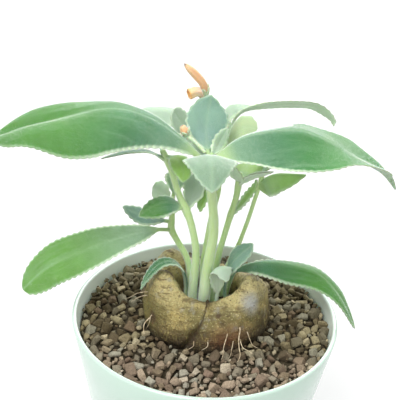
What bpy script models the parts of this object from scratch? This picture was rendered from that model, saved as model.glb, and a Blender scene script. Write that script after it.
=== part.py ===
"""A potted sinningia: a lobed tuber half sunk in a tapered pot of gravel, with leafy stems,
toothed arching leaves and a small cyme of salmon flowers.

Run it with: blender --background --python part.py

The frame has +Z up and its origin at the middle of the pot's flat base. Sizes are written in
millimetres, as a grower would measure them, and every mesh is made in metres by MM.
Azimuths are angles seen from above: 0 is +X, 90 is +Y, to the back of the pot.
"""

import math
import random
from typing import NamedTuple

import bmesh
import bpy
from mathutils import Vector

MM = 0.001
GAP = 0.3  # clearance where one piece rests on another

# The pot.
POT_HEIGHT = 108.0
RIM_RADIUS = 65.0
BASE_RADIUS = 46.0
WALL = 2.2
FLOOR = 5.0
LIP = 0.6
POT_SIDES = 48
DRAIN_HOLES = 4
DRAIN_RADIUS = 4.0
DRAIN_CIRCLE = 24.0

# The gravel.
GRAVEL_TOP = 102.2
STONE_PITCH = 10.0
STRAY = 0.32  # how far a stone sits from its place in the lattice, over the pitch
STONE_RISE = 1.5
STONE_INSET = 1.5
GRAVEL_SEED = 11

# The tuber.
TUBER_CENTRE = Vector((0.0, 2.0, 0.0))
CROWN_TOP = 113.0
RIM_OF_TUBER = 124.0
TUBER_SIDES = 48
TUBER_DEPTH_SHARE = 0.87  # its depth, front to back, over its width
CREASE_AZIMUTH = 266.0
CREASE_DEPTH = 1.2

# Leaves.
BLADE = 0.7  # thickness of a blade
PETIOLE = 1.8  # thickness of a leaf stalk
TOOTH = 0.7  # how far each tooth of the margin stands out

STEM_BASE = CROWN_TOP + GAP
STEM_SMOOTHING = 3
BLOOM_SMOOTHING = 3
BAR_ROUNDNESS = 2

COLOURS = {
    "pot": ((0.80, 0.92, 0.86), 0.25),
    "gravel": ((0.42, 0.33, 0.27), 0.90),
    "tuber": ((0.55, 0.42, 0.20), 0.70),
    "stem": ((0.50, 0.66, 0.30), 0.60),
    "leaf": ((0.28, 0.50, 0.32), 0.65),
    "calyx": ((0.62, 0.72, 0.50), 0.70),
    "corolla": ((0.93, 0.55, 0.28), 0.55),
}


class Stem(NamedTuple):
    """A stem by its axis, as points (x, y, z, radius) from its foot on the tuber to its tip."""

    name: str
    points: tuple


class Leaf(NamedTuple):
    """A leaf by its midrib. Angles are in degrees.

    at is the height on the stem, or the foot's (x, y, z) where stem is None. midrib holds the
    points that the midrib passes through after its foot, the tip last. roll lifts the half of the
    blade on the left, seen from the foot, and fold lifts both halves. twist and unfold are what
    has been added to those two by the tip, past the middle of the leaf. curl bends the margins
    down. belly is where along the leaf the blade is widest, and point how drawn out its tip is.
    """

    name: str
    stem: str | None
    at: float | tuple
    midrib: tuple
    width: float
    roll: float = 0.0
    twist: float = 0.0
    fold: float = 8.0
    unfold: float = 0.0
    curl: float = 0.25
    stalk: float = 0.10
    belly: float = 0.50
    point: float = 0.9
    stations: int = 9
    across: int = 3


STEMS = (
    Stem("stem_main", ((-0.8, -4.5, STEM_BASE, 2.8), (-0.9, -4.7, 121, 2.7),
                       (-0.2, -4.8, 135, 2.5), (0.9, -5, 146, 2.3), (1.6, -5, 153.5, 2.2),
                       (1.4, -5.4, 161, 2.2), (0.6, -6, 168.5, 2.1), (-0.5, -6.6, 176, 2.1),
                       (-2, -7, 186, 2.1), (-2.8, -8, 195.5, 2.1))),
    Stem("stem_left", ((-6.7, -1.2, STEM_BASE, 2.3), (-6.5, -1.2, 123.5, 2.1),
                       (-6, -1.4, 135, 1.9), (-6.2, -1.5, 143.5, 1.8), (-7.5, -1.4, 151, 1.7),
                       (-9.4, -1, 158, 1.7), (-11.4, -0.2, 163, 1.7), (-14.2, 0.4, 168.5, 1.6),
                       (-16.4, 1, 173.5, 1.5), (-18.9, 2, 181, 1.4), (-22, 3, 188, 1.3),
                       (-24, 4, 191.5, 1.2))),
    Stem("stem_far_left", ((-8.3, 5, STEM_BASE, 1.8), (-8.5, 5.2, 124, 1.6),
                           (-9.5, 6, 130.5, 1.5), (-11.3, 7, 135.2, 1.5), (-13.8, 8, 139, 1.5),
                           (-16.6, 9, 143.3, 1.5), (-18.8, 10, 147.5, 1.5),
                           (-18.8, 12, 152.5, 1.3), (-18.8, 14, 157, 1.2),
                           (-19.3, 15, 162, 1.2))),
    Stem("stem_back", ((-1.5, 7, STEM_BASE, 1.9), (-2.2, 7, 131, 1.7), (-1.5, 8, 139, 1.6),
                       (-0.5, 9.5, 149, 1.5), (1.2, 12, 161, 1.5), (2.5, 15, 171, 1.5),
                       (3.2, 19, 184, 1.5), (3.4, 20.5, 190, 1.4))),
    Stem("stem_right", ((3.8, 2, STEM_BASE, 1.9), (3.5, 2.3, 122, 1.7), (3.8, 2.7, 131, 1.6),
                        (5.1, 3.7, 140.5, 1.5), (6.7, 5, 148, 1.4), (8.2, 5.5, 155.5, 1.4),
                        (9.4, 6, 161, 1.4), (10.8, 7, 167, 1.4), (11.5, 7.5, 173, 1.4),
                        (11.8, 8, 180.5, 1.3))),
    Stem("stem_far_right", ((7, 7.2, STEM_BASE, 1.5), (7.1, 7.5, 116, 1.5), (8, 9.3, 123, 1.3),
                            (10.6, 10.6, 131, 1.2), (14, 11, 140, 1.1), (15.7, 11.5, 146, 1.0),
                            (17.3, 12, 152, 1.0), (18.6, 12, 158, 1.0), (20, 12, 165, 1.0),
                            (21.4, 11.5, 172, 1.0), (22.3, 11, 178, 1.0))),
)

LEAVES = (
    # The head of the main stem: a large pair, a smaller pair across it and a young leaf.
    Leaf("leaf_main_left", "stem_main", 192, ((-13.5, -10.3, 202.7), (-28.5, -11, 212.9),
         (-46, -11, 216.1), (-71, -5.8, 206.7), (-100, -4, 194.6)), 40, roll=-8.3, twist=3.3,
         fold=16.3, unfold=30.3, curl=1.0, stalk=0.0, belly=0.64, point=0.81, stations=20,
         across=5),
    Leaf("leaf_main_right", "stem_main", 192, ((8, -9, 203.6), (20.5, -9, 208.7), (36, -9, 210.8),
         (52, -7.3, 204.3), (64, -7.3, 197.7), (74, -6, 191.7), (80, -9.3, 186)), 42, roll=5.1,
         twist=-16.7, fold=-25.5, unfold=38.7, curl=0.0, stalk=0.0, belly=0.56, point=0.74,
         stations=20, across=5),
    Leaf("leaf_main_front", "stem_main", 193, ((-2.2, -15, 198.5), (-2, -22, 202.4),
         (-1.7, -29, 204.6), (-1.2, -36.5, 203.5), (-0.3, -45, 197)), 21.5, fold=2, stalk=0.0,
         belly=0.46, stations=12, across=5),
    Leaf("leaf_main_back", "stem_main", 194.5, ((-4.2, -1.5, 200), (-4.6, 1.5, 204),
         (-4.5, 5, 208.8), (-4.2, 8, 213.1), (-3.4, 9.5, 217.3)), 18, fold=6, stalk=0.06,
         belly=0.58, point=1.0, stations=9, across=5),
    Leaf("leaf_main_young", "stem_main", 195, ((0.6, -3.2, 198.2), (2.5, -2.4, 202.6),
         (4.4, -1.9, 207)), 5.4, roll=50, fold=20, stalk=0.05, stations=6),
    Leaf("leaf_main_inner", "stem_main", 187, ((-5.2, 1.5, 191), (-7.6, 4.6, 195.5),
         (-10.2, 6.5, 200.2)), 8, roll=-40, fold=10, stations=7),
    # The pair half way up the left stem, and the leaves at its head.
    Leaf("leaf_left_low_out", "stem_left", 165, ((-18.3, -3, 168.6), (-23.6, -5, 168.7),
         (-28.9, -6, 166.1), (-33.1, -6, 162)), 11, roll=-28, fold=-14, stalk=0.0, stations=9,
         across=5),
    Leaf("leaf_left_low_up", "stem_left", 163, ((-9.9, 2.6, 168.5), (-8.8, 4, 171.5),
         (-8.5, 6, 175), (-8.3, 9, 179)), 9.5, fold=20, stalk=0.0, belly=0.6, stations=9,
         across=5),
    Leaf("leaf_left_top_out", "stem_left", 187, ((-29.5, 2, 191.6), (-36, 1.5, 191.6),
         (-43, 0.5, 190.4), (-51, -1, 187.7)), 11, roll=20, belly=0.46, stations=10),
    Leaf("leaf_left_top_in", "stem_left", 188.5, ((-18.3, 0, 190), (-15.2, -3, 188.6),
         (-13.6, -5.5, 185.8), (-13.5, -7.5, 181.8)), 10, roll=10, stations=8),
    Leaf("leaf_left_top_back", "stem_left", 188, ((-26.5, 14, 191), (-30, 26, 190),
         (-33, 38, 181)), 15, fold=-8, stalk=0.2, stations=10),
    # The far left stem: its long low leaf, the one across from it, and its small head.
    Leaf("leaf_far_left_long", "stem_far_left", 147, ((-26.5, 6, 148.5), (-37.5, -2, 149.5),
         (-55.5, -7, 144), (-74, -10, 134.5), (-87, -12, 121.8)), 22, roll=-26, fold=4, curl=0.12,
         stalk=0.05, belly=0.66, point=0.5, stations=18, across=5),
    Leaf("leaf_far_left_short", "stem_far_left", 150.5, ((-25.5, 12, 150.8), (-31.8, 13, 151.2),
         (-36.8, 14, 152.8), (-43, 15, 155.1)), 9, roll=-20, stations=9),
    Leaf("leaf_far_left_top_out", "stem_far_left", 157.5, ((-22.2, 13.4, 163.4),
         (-25, 13.2, 166.2), (-28.6, 13, 167.8)), 8.6, roll=-55, fold=-10, stalk=0.25, belly=0.6,
         point=0.5, stations=7),
    Leaf("leaf_far_left_top_back", "stem_far_left", 160.5, ((-18, 22, 167), (-16, 34, 166),
         (-15, 41, 161)), 13, stations=9),
    # The head of the back stem, behind the main one.
    Leaf("leaf_back_left", "stem_back", 186, ((-8, 24, 195.5), (-18, 26, 200.3), (-33, 29, 200.5),
         (-46, 30, 196)), 15, roll=-8, fold=-6, stalk=0.0, stations=12, across=5),
    Leaf("leaf_back_silver", "stem_back", 183, ((-3.5, 15.5, 190), (-11.5, 13.5, 197),
         (-17, 12, 203), (-20.2, 11, 208.6)), 12.5, roll=-45, fold=14, belly=0.7, point=0.5,
         stations=10),
    Leaf("leaf_back_right", "stem_back", 187.5, ((7, 24.2, 198), (10.2, 25, 203.2),
         (15.4, 25.8, 205.8), (25, 27, 207.4), (35, 28, 208.4), (45, 28, 207.6), (53, 28, 202.5),
         (55, 28, 198.5)), 12, roll=-36, fold=6, curl=0.1, stalk=0.12, belly=0.55, stations=14),
    Leaf("leaf_back_short", "stem_back", 188.5, ((3.6, 27, 198.5), (6.6, 31, 202.2),
         (11, 32, 203.6), (16.7, 32.5, 204)), 7.5, belly=0.6, stations=8),
    Leaf("leaf_back_pale", "stem_back", 181.5, ((6.2, 14.8, 190.5), (8.6, 13.8, 197.2),
         (12.5, 13.6, 201.1), (18.4, 13, 201.2)), 13, roll=40, belly=0.66, point=0.6,
         stations=10),
    Leaf("leaf_back_rear", "stem_back", 182, ((1, 31, 192), (0, 45, 191), (-1, 58, 180)), 22,
         fold=-8, stalk=0.14, stations=13, across=5),
    Leaf("leaf_back_low", "stem_back", 166, ((-3, 8, 170.5), (-5, 5.5, 167.5), (-5.5, 4, 161)), 6,
         stations=6),
    # The right stem.
    Leaf("leaf_right_narrow", "stem_right", 159.5, ((13.6, 6.2, 165.4), (16.7, 5.6, 171),
         (18.9, 5, 175.4), (19.8, 4.5, 179.4)), 3.4, roll=55, fold=16, stalk=0.0, stations=8),
    Leaf("leaf_right_near", "stem_right", 176.5, ((10.6, 5, 179.8), (9.6, 4.4, 183),
         (8.8, 3.6, 186)), 7, fold=10, stalk=0.0, belly=0.45, stations=8),
    Leaf("leaf_right_out", "stem_right", 174.5, ((14.2, 5.6, 178.2), (17, 4, 182.1),
         (21.2, 2, 184.9), (26.6, 0, 186.3)), 7, roll=-30, fold=-8, stalk=0.0, belly=0.6,
         stations=9),
    Leaf("leaf_right_back", "stem_right", 177, ((12.8, 14, 177.8), (15.6, 20.5, 178),
         (20.4, 27, 176.6), (27, 32, 172.6)), 14, fold=-4, stalk=0.0, stations=10),
    # The thin stem on the far right.
    Leaf("leaf_far_right_out", "stem_far_right", 174, ((24.6, 9.6, 178.4), (29, 9, 180.6),
         (34, 8, 181.6), (42, 6, 182.9)), 15, roll=8, fold=-34, stalk=0.0, belly=0.28, stations=9,
         across=5),
    Leaf("leaf_far_right_back", "stem_far_right", 176, ((25, 21, 181), (30, 31, 182),
         (35, 39, 175)), 12, stalk=0.2, stations=9),
    # Leaves from the crown of the tuber.
    Leaf("leaf_crown_arch", None, (-10, 1.8, 114), ((-10.2, 1.8, 121), (-11.2, 1, 127.5),
         (-13.5, -0.5, 133), (-17.2, -3, 137), (-21.8, -5, 137.3), (-25.8, -6.5, 134),
         (-29, -7, 128.9), (-31.5, -7.5, 123)), 7, fold=14, stalk=0.28, stations=14),
    Leaf("leaf_crown_upright", None, (9.6, 0.2, 114), ((9, 0, 124), (10.4, 0.2, 132.4),
         (13.5, 0.6, 139.1), (20.8, 3.8, 145.7)), 13, fold=14, stalk=0.3, belly=0.66,
         stations=11),
    Leaf("leaf_crown_curled", None, (5.3, -5.2, 114), ((5.2, -4.9, 123), (4.6, -4.6, 131),
         (5.3, -5.2, 137), (7.6, -8.6, 138), (9.2, -11.4, 133)), 10.5, fold=-8, stalk=0.2,
         belly=0.6, stations=10),
    Leaf("leaf_crown_young", None, (8.6, -2.9, 114), ((9.6, -3.8, 117.5), (11.6, -4.6, 120.8)), 4,
         fold=20, stalk=0.3, stations=5),
    Leaf("leaf_crown_long", None, (9.6, 4, 114), ((11.5, 4, 124), (14.6, 4, 130.5),
         (24.9, 4, 135.2), (39.3, 4, 135), (54, 3, 131), (65.4, 1, 120), (74.3, -1, 104)), 14,
         roll=24, twist=-17, fold=-38, unfold=59, curl=0.4, stalk=0.16, belly=0.54, point=0.76,
         stations=20, across=5),
)


class Bloom(NamedTuple):
    """A flower, bud or flower stalk by its axis, as points (x, y, z, radius), foot first."""

    name: str
    colour: str
    points: tuple


BLOOMS = (
    Bloom("flower_stalk", "calyx", ((3.2, 20.5, 190.6, 0.8), (1, 19, 199, 0.8),
                                    (-3, 17, 208, 0.8), (-5.5, 15.5, 213.5, 1.3))),
    Bloom("flower_tall", "corolla", ((-6, 14.9, 214.8, 1.0), (-6.6, 14.3, 218.2, 1.6),
                                     (-7.7, 13.7, 221.2, 1.9), (-10.2, 12.8, 224.4, 2.0),
                                     (-13.4, 11.8, 227.8, 1.7), (-16.2, 11, 230.6, 0.7))),
    Bloom("flower_short", "corolla", ((-6.9, 14.2, 212, 0.8), (-7.9, 12.2, 215.4, 1.2),
                                      (-9.2, 10.9, 217.6, 2.0), (-10.9, 10.1, 218, 2.4),
                                      (-12.4, 9.4, 217.5, 2.4), (-13.5, 8.9, 217.2, 2.3))),
    Bloom("bud_stalk", "calyx", ((-4.5, -7, 196.8, 0.7), (-8.7, -5.6, 200.4, 0.7),
                                 (-12.3, -4.9, 203, 1.1))),
    Bloom("bud", "corolla", ((-12.8, -4.8, 203.8, 1.2), (-14, -4.5, 205.5, 2.0),
                             (-15.4, -4.2, 207.8, 1.0))),
)


def smooth_path(points: tuple, steps: int) -> list[tuple[Vector, float]]:
    """Returns (point, radius) pairs along one smooth curve through all the given points."""
    knots = [points[0], *points, points[-1]]
    path = []
    for a, b, c, d in zip(knots, knots[1:], knots[2:], knots[3:]):
        for step in range(steps):
            t = step / steps
            here = [
                0.5 * (2 * q + (r - p) * t + (2 * p - 5 * q + 4 * r - s) * t * t
                       + (3 * q - p - 3 * r + s) * t ** 3)
                for p, q, r, s in zip(a, b, c, d)
            ]
            path.append((Vector(here[:3]), here[3]))
    path.append((Vector(points[-1][:3]), points[-1][3]))
    return path


def smoothstep(low: float, high: float, value: float) -> float:
    """Returns 0 below low, 1 above high and an even ramp between them."""
    share = min(max((value - low) / (high - low), 0.0), 1.0)
    return share * share * (3 - 2 * share)


def near_angle(angle: float, centre: float, spread: float) -> float:
    """Returns a bell that is 1 at the centre azimuth and dies away over the spread, in degrees."""
    off = (angle - centre + 180) % 360 - 180
    return math.exp(-((off / spread) ** 2))


def finish(name: str, mesh: bpy.types.Mesh, colour: str) -> bpy.types.Object:
    """Links a mesh as one named object with its own material, and returns the object."""
    item = bpy.data.objects.new(name, mesh)
    bpy.context.scene.collection.objects.link(item)
    material = bpy.data.materials.new(name)
    material.use_nodes = True
    (red, green, blue), roughness = COLOURS[colour]
    shader = material.node_tree.nodes["Principled BSDF"]
    shader.inputs["Base Color"].default_value = (red, green, blue, 1.0)
    shader.inputs["Roughness"].default_value = roughness
    item.data.materials.append(material)
    return item


def mesh_of(name: str, shape: bmesh.types.BMesh) -> bpy.types.Mesh:
    """Turns a bmesh drawn in millimetres into a mesh in metres with its faces pointing out."""
    bmesh.ops.recalc_face_normals(shape, faces=shape.faces)
    bmesh.ops.scale(shape, vec=(MM, MM, MM), verts=shape.verts)
    mesh = bpy.data.meshes.new(name)
    shape.to_mesh(mesh)
    shape.free()
    return mesh


def spun(profile: list[tuple[float, float]], sides: int) -> bmesh.types.BMesh:
    """Turns a profile of (radius, height) points, ends on the axis, about the Z axis."""
    shape = bmesh.new()
    points = [shape.verts.new((radius, 0.0, height)) for radius, height in profile]
    edges = [shape.edges.new(pair) for pair in zip(points, points[1:])]
    bmesh.ops.spin(shape, geom=points + edges, axis=(0, 0, 1), cent=(0, 0, 0),
                   steps=sides, angle=2 * math.pi, use_merge=True)
    bmesh.ops.remove_doubles(shape, verts=shape.verts, dist=0.001)
    return shape


def boolean(item: bpy.types.Object, other: bpy.types.Object, operation: str) -> None:
    """Adds a Boolean modifier that joins, cuts or keeps item by other, which becomes a helper."""
    other.hide_render = True
    other.display_type = "WIRE"
    modifier = item.modifiers.new(f"{operation.lower()}_{other.name}", "BOOLEAN")
    modifier.operation = operation
    modifier.object = other
    modifier.solver = "EXACT"


def wall_radius(height: float) -> float:
    """Returns the pot's outer radius at a height."""
    return BASE_RADIUS + (RIM_RADIUS - BASE_RADIUS) * height / POT_HEIGHT


def make_pot() -> None:
    """Makes the tapered pot with its rounded lip and the drain holes in its floor."""
    inner_floor = wall_radius(FLOOR) - WALL
    profile = [
        (0, FLOOR), (inner_floor - 1.5, FLOOR), (inner_floor, FLOOR + 1.5),
        (wall_radius(POT_HEIGHT / 2) - WALL, POT_HEIGHT / 2),
        (RIM_RADIUS - WALL, POT_HEIGHT - LIP), (RIM_RADIUS - WALL + LIP, POT_HEIGHT),
        (RIM_RADIUS - LIP, POT_HEIGHT), (RIM_RADIUS, POT_HEIGHT - LIP),
        (wall_radius(POT_HEIGHT / 2), POT_HEIGHT / 2), (wall_radius(1.5), 1.5),
        (BASE_RADIUS - 1.2, 0), (0, 0),
    ]
    pot = finish("pot", mesh_of("pot", spun(profile, POT_SIDES)), "pot")
    pot.data.shade_smooth()
    pot.data.set_sharp_from_angle(angle=math.radians(35))
    for number in range(DRAIN_HOLES):
        angle = 2 * math.pi * (number + 0.54) / DRAIN_HOLES
        shape = bmesh.new()
        bmesh.ops.create_cone(shape, cap_ends=True, segments=16, radius1=DRAIN_RADIUS,
                              radius2=DRAIN_RADIUS, depth=4 * FLOOR)
        bmesh.ops.translate(shape, verts=shape.verts, vec=(
            DRAIN_CIRCLE * math.cos(angle), DRAIN_CIRCLE * math.sin(angle), 0.0))
        drill = finish(f"drill_{number}", mesh_of("drill", shape), "pot")
        boolean(pot, drill, "DIFFERENCE")


def tuber_point(radius: float, height: float, azimuth: float, swell: float) -> Vector:
    """Bends one point of the turned tuber into its lobes. swell moves the whole skin outwards."""
    high = smoothstep(CROWN_TOP, RIM_OF_TUBER, height)
    flank = smoothstep(14, 26, radius) * (1 - high)
    lobes = (8.5 * near_angle(azimuth, 203, 24) + 9.0 * near_angle(azimuth, 142, 20)
             + 5.5 * near_angle(azimuth, 356, 26) + 3.0 * near_angle(azimuth, 325, 18)
             - 2.0 * near_angle(azimuth, 50, 26) - 2.5 * near_angle(azimuth, 270, 30))
    reach = (1.0 * near_angle(azimuth, 203, 30) + 2.0 * near_angle(azimuth, 142, 26)
             - 4.5 * near_angle(azimuth, 270, 30))
    bulge = (0.8 * math.sin(math.radians(3 * azimuth + 40)) + 1.2 * near_angle(azimuth, 225, 18)
             + 1.0 * near_angle(azimuth, 310, 22))
    radius += high * reach + flank * bulge
    radius -= CREASE_DEPTH * near_angle(azimuth, CREASE_AZIMUTH, 4) * smoothstep(9, 16, radius)
    radius += swell * smoothstep(0, 6, radius)
    height += high * lobes + swell * (smoothstep(100, 112, height) * 2 - 1)
    angle = math.radians(azimuth)
    return TUBER_CENTRE + Vector((radius * math.cos(angle),
                                  radius * math.sin(angle) * TUBER_DEPTH_SHARE, height))


def tuber_shape(swell: float) -> bmesh.types.BMesh:
    """Returns the tuber: a cushion with a sunken crown, turned and then bent into its lobes."""
    profile = [
        (0, CROWN_TOP), (5.5, CROWN_TOP), (12.4, CROWN_TOP), (14.8, 117.5), (17.5, 122.0),
        (21.5, RIM_OF_TUBER), (26, 121.5), (29.5, 116), (31.2, 109), (30.5, 102), (27, 96),
        (19, 91.5), (0, 90),
    ]
    shape = spun(profile, TUBER_SIDES)
    for vertex in shape.verts:
        radius = math.hypot(vertex.co.x, vertex.co.y)
        azimuth = math.degrees(math.atan2(vertex.co.y, vertex.co.x)) % 360
        vertex.co = tuber_point(radius, vertex.co.z, azimuth, swell)
    bmesh.ops.triangulate(shape, faces=shape.faces)
    return shape


def make_tuber() -> None:
    """Makes the tuber, with its flat crown for the stems to stand on."""
    tuber = finish("tuber", mesh_of("tuber", tuber_shape(0.0)), "tuber")
    tuber.data.shade_smooth()


def stone_field() -> bmesh.types.BMesh:
    """Returns a slab whose top is a field of angular stones, from a jittered six-sided lattice."""
    draw = random.Random(GRAVEL_SEED)
    row_pitch = STONE_PITCH * math.sqrt(3) / 2
    reach = int(RIM_RADIUS / row_pitch) + 2
    centres = {}
    for row in range(-reach, reach + 2):
        for column in range(-reach, reach + 2):
            centres[column, row] = Vector((
                (column + 0.5 * (row % 2)) * STONE_PITCH + draw.uniform(-STRAY, STRAY) * STONE_PITCH,
                row * row_pitch + draw.uniform(-STRAY, STRAY) * STONE_PITCH,
                GRAVEL_TOP + draw.uniform(-1.0, 1.0)))
    shape = bmesh.new()
    corners = {}

    def corner(*cells: tuple[int, int]) -> bmesh.types.BMVert:
        """Returns the low point where three stones meet."""
        key = tuple(sorted(cells))
        if key not in corners:
            middle = sum((centres[cell] for cell in cells), Vector()) / 3
            corners[key] = shape.verts.new(middle - Vector((0, 0, STONE_RISE)))
        return corners[key]

    stones = []
    for row in range(-reach + 1, reach + 1):
        for column in range(-reach + 1, reach):
            if centres[column, row].xy.length > RIM_RADIUS + STONE_PITCH:
                continue
            shift = row % 2
            around = [(column + 1, row), (column + shift, row + 1), (column + shift - 1, row + 1),
                      (column - 1, row), (column + shift - 1, row - 1), (column + shift, row - 1)]
            ring = [corner((column, row), around[i], around[(i + 1) % 6]) for i in range(6)]
            stones.append(shape.faces.new(ring))
    base = bmesh.ops.extrude_face_region(shape, geom=stones)
    under = [item for item in base["geom"] if isinstance(item, bmesh.types.BMVert)]
    top = list(stones)
    for vertex in under:
        vertex.co.z = FLOOR - 10
    bmesh.ops.inset_individual(shape, faces=top, thickness=STONE_INSET)
    for face in top:
        tilt = Vector((draw.uniform(-0.16, 0.16), draw.uniform(-0.16, 0.16), 0))
        middle = face.calc_center_median()
        rise = STONE_RISE * draw.uniform(0.8, 1.7)
        for vertex in face.verts:
            vertex.co.z = middle.z + rise + tilt.dot(vertex.co - middle)
    bmesh.ops.triangulate(shape, faces=shape.faces)
    return shape


def make_gravel() -> None:
    """Makes the gravel that fills the pot, stony on top and cut to the tuber's seat."""
    gravel = finish("gravel", mesh_of("gravel", stone_field()), "gravel")
    low, high = FLOOR + GAP, POT_HEIGHT
    inside = WALL + GAP
    plug_profile = [(0, high), (wall_radius(high) - inside, high),
                    (wall_radius(low) - inside - 1.5, low), (0, low)]
    plug = finish("pot_inside", mesh_of("pot_inside", spun(plug_profile, POT_SIDES)), "gravel")
    boolean(gravel, plug, "INTERSECT")
    seat = finish("tuber_seat", mesh_of("tuber_seat", tuber_shape(GAP + 0.1)), "gravel")
    boolean(gravel, seat, "DIFFERENCE")


def make_bar(name: str, points: tuple, colour: str, smoothing: int) -> None:
    """Makes a round bar that follows an axis of (x, y, z, radius) points and tapers with it."""
    curve = bpy.data.curves.new(name, "CURVE")
    curve.dimensions = "3D"
    path = smooth_path(points, smoothing)
    spline = curve.splines.new("POLY")
    spline.points.add(len(path) - 1)
    for point, (place, radius) in zip(spline.points, path):
        point.co = (*(place * MM), 1.0)
        point.radius = radius
    curve.bevel_depth = MM
    curve.bevel_resolution = BAR_ROUNDNESS
    curve.use_fill_caps = True
    finish(name, curve, colour)


def stem_at(name: str, height: float) -> tuple[Vector, float]:
    """Returns the axis point and the radius of a named stem at a height."""
    stem = next(stem for stem in STEMS if stem.name == name)
    path = smooth_path(stem.points, STEM_SMOOTHING)
    for (low, low_radius), (high, high_radius) in zip(path, path[1:]):
        if low.z <= height <= high.z:
            share = (height - low.z) / (high.z - low.z)
            return low.lerp(high, share), low_radius + (high_radius - low_radius) * share
    return path[-1]


def leaf_foot(leaf: Leaf) -> Vector:
    """Returns where a leaf's stalk begins: just clear of its stem, or on the tuber's crown."""
    if leaf.stem is None:
        return Vector(leaf.at)
    axis, radius = stem_at(leaf.stem, leaf.at)
    above, _ = stem_at(leaf.stem, leaf.at + 1.0)
    grain = (above - axis).normalized()
    away = (Vector(leaf.midrib[0]) - axis).normalized()
    out = (away - grain * away.dot(grain)).normalized()
    foot = axis + out * (radius + GAP)
    first = (Vector(leaf.midrib[0]) - foot).normalized()
    askew = math.sqrt(max(1 - first.dot(out) ** 2, 0.0))
    return foot + out * 0.65 * PETIOLE * askew


def leaf_axis(leaf: Leaf) -> list[Vector]:
    """Returns the points of a leaf's midrib at even steps, one more than its stations."""
    knots = [(*leaf_foot(leaf), 0.0), *((*point, 0.0) for point in leaf.midrib)]
    path = [place for place, _ in smooth_path(tuple(knots), 12)]
    reached = [0.0]
    for here, after in zip(path, path[1:]):
        reached.append(reached[-1] + (after - here).length)
    points = []
    index = 0
    for station in range(leaf.stations + 1):
        goal = reached[-1] * station / leaf.stations
        while index < len(path) - 2 and reached[index + 1] < goal:
            index += 1
        share = (goal - reached[index]) / (reached[index + 1] - reached[index])
        points.append(path[index].lerp(path[index + 1], min(share, 1.0)))
    return points


def past_middle(share: float) -> float:
    """Returns how much of a leaf's twist and unfolding has come in at a share of its length."""
    return smoothstep(0.40, 0.85, share)


def leaf_frames(leaf: Leaf) -> list[tuple[Vector, Vector, Vector]]:
    """Returns (point, left side, upper side) at each station along a leaf's midrib."""
    points = leaf_axis(leaf)
    chord = points[-1] - points[0]
    level = Vector((-chord.y, chord.x, 0)).normalized()
    frames = []
    for station, point in enumerate(points):
        before, after = points[max(station - 1, 0)], points[min(station + 1, leaf.stations)]
        along = (after - before).normalized()
        side = (level - along * level.dot(along)).normalized()
        up = along.cross(side)
        turn = math.radians(leaf.roll + leaf.twist * past_middle(station / leaf.stations))
        frames.append((point, side * math.cos(turn) + up * math.sin(turn),
                       up * math.cos(turn) - side * math.sin(turn)))
    return frames


def half_width(leaf: Leaf, share: float) -> float:
    """Returns half the leaf's width at a share of its length, without its teeth."""
    stalk = 0.5 * PETIOLE
    along = (share - leaf.stalk) / (1 - leaf.stalk)
    if along <= 0:
        return stalk
    rear = leaf.point * leaf.belly / (1 - leaf.belly)
    peak = leaf.belly ** rear * (1 - leaf.belly) ** leaf.point
    blade = 0.5 * leaf.width * along ** rear * (1 - along) ** leaf.point / peak
    return max(blade, stalk * (1 - along), 0.35)


def make_leaf(leaf: Leaf) -> None:
    """Makes one leaf: a grid laid along its midrib, rolled, folded, curled, toothed, thickened."""
    shape = bmesh.new()
    bmesh.ops.create_grid(shape, x_segments=leaf.stations, y_segments=leaf.across - 1, size=1.0)
    weights = shape.verts.layers.deform.new()
    frames = leaf_frames(leaf)
    for vertex in shape.verts:
        station = round((vertex.co.x + 1) / 2 * leaf.stations)
        place = vertex.co.y
        share = station / leaf.stations
        point, side, upper = frames[station]
        reach = half_width(leaf, share)
        bladed = smoothstep(leaf.stalk, leaf.stalk + 0.12, share)
        fold = math.tan(math.radians(leaf.fold + leaf.unfold * past_middle(share)))
        if abs(place) > 0.9 and station % 2 and share > leaf.stalk + 0.1:
            reach += TOOTH
        lift = bladed * reach * (fold * abs(place) - leaf.curl * place * place)
        vertex.co = point + side * reach * place + upper * lift
        rib = (1 - abs(place)) * (1 - share) * 0.4
        thickness = BLADE + (PETIOLE - BLADE) * max(1 - bladed, rib)
        vertex[weights][0] = thickness / PETIOLE
    bmesh.ops.triangulate(shape, faces=shape.faces)
    item = finish(leaf.name, mesh_of(leaf.name, shape), "leaf")
    group = item.vertex_groups.new(name="thickness")
    thicken = item.modifiers.new("thicken", "SOLIDIFY")
    thicken.thickness = PETIOLE * MM
    thicken.offset = 0.0
    thicken.vertex_group = group.name
    item.data.shade_smooth()


def main() -> None:
    """Clears the scene and builds every piece."""
    for item in list(bpy.data.objects):
        bpy.data.objects.remove(item)
    make_pot()
    make_tuber()
    make_gravel()
    for stem in STEMS:
        make_bar(stem.name, stem.points, "stem", STEM_SMOOTHING)
    for leaf in LEAVES:
        make_leaf(leaf)
    for bloom in BLOOMS:
        make_bar(bloom.name, bloom.points, bloom.colour, BLOOM_SMOOTHING)


main()
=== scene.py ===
"""Dresses the potted sinningia: velvety toothed leaves, hairy stems, salmon flowers, the pitted
tuber, loose grit and the glossy pot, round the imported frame.

Lengths in the tables and in the sizes of the classes are millimetres, and MM turns them into the
metres of the frame. Azimuths are degrees seen from above: 0 is +X and 90 is +Y, to the back.
"""

import logging
import math
import random
from dataclasses import dataclass, field, replace
from enum import Enum

import bmesh
import bpy
import numpy as np
from mathutils import Matrix, Vector, noise


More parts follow.
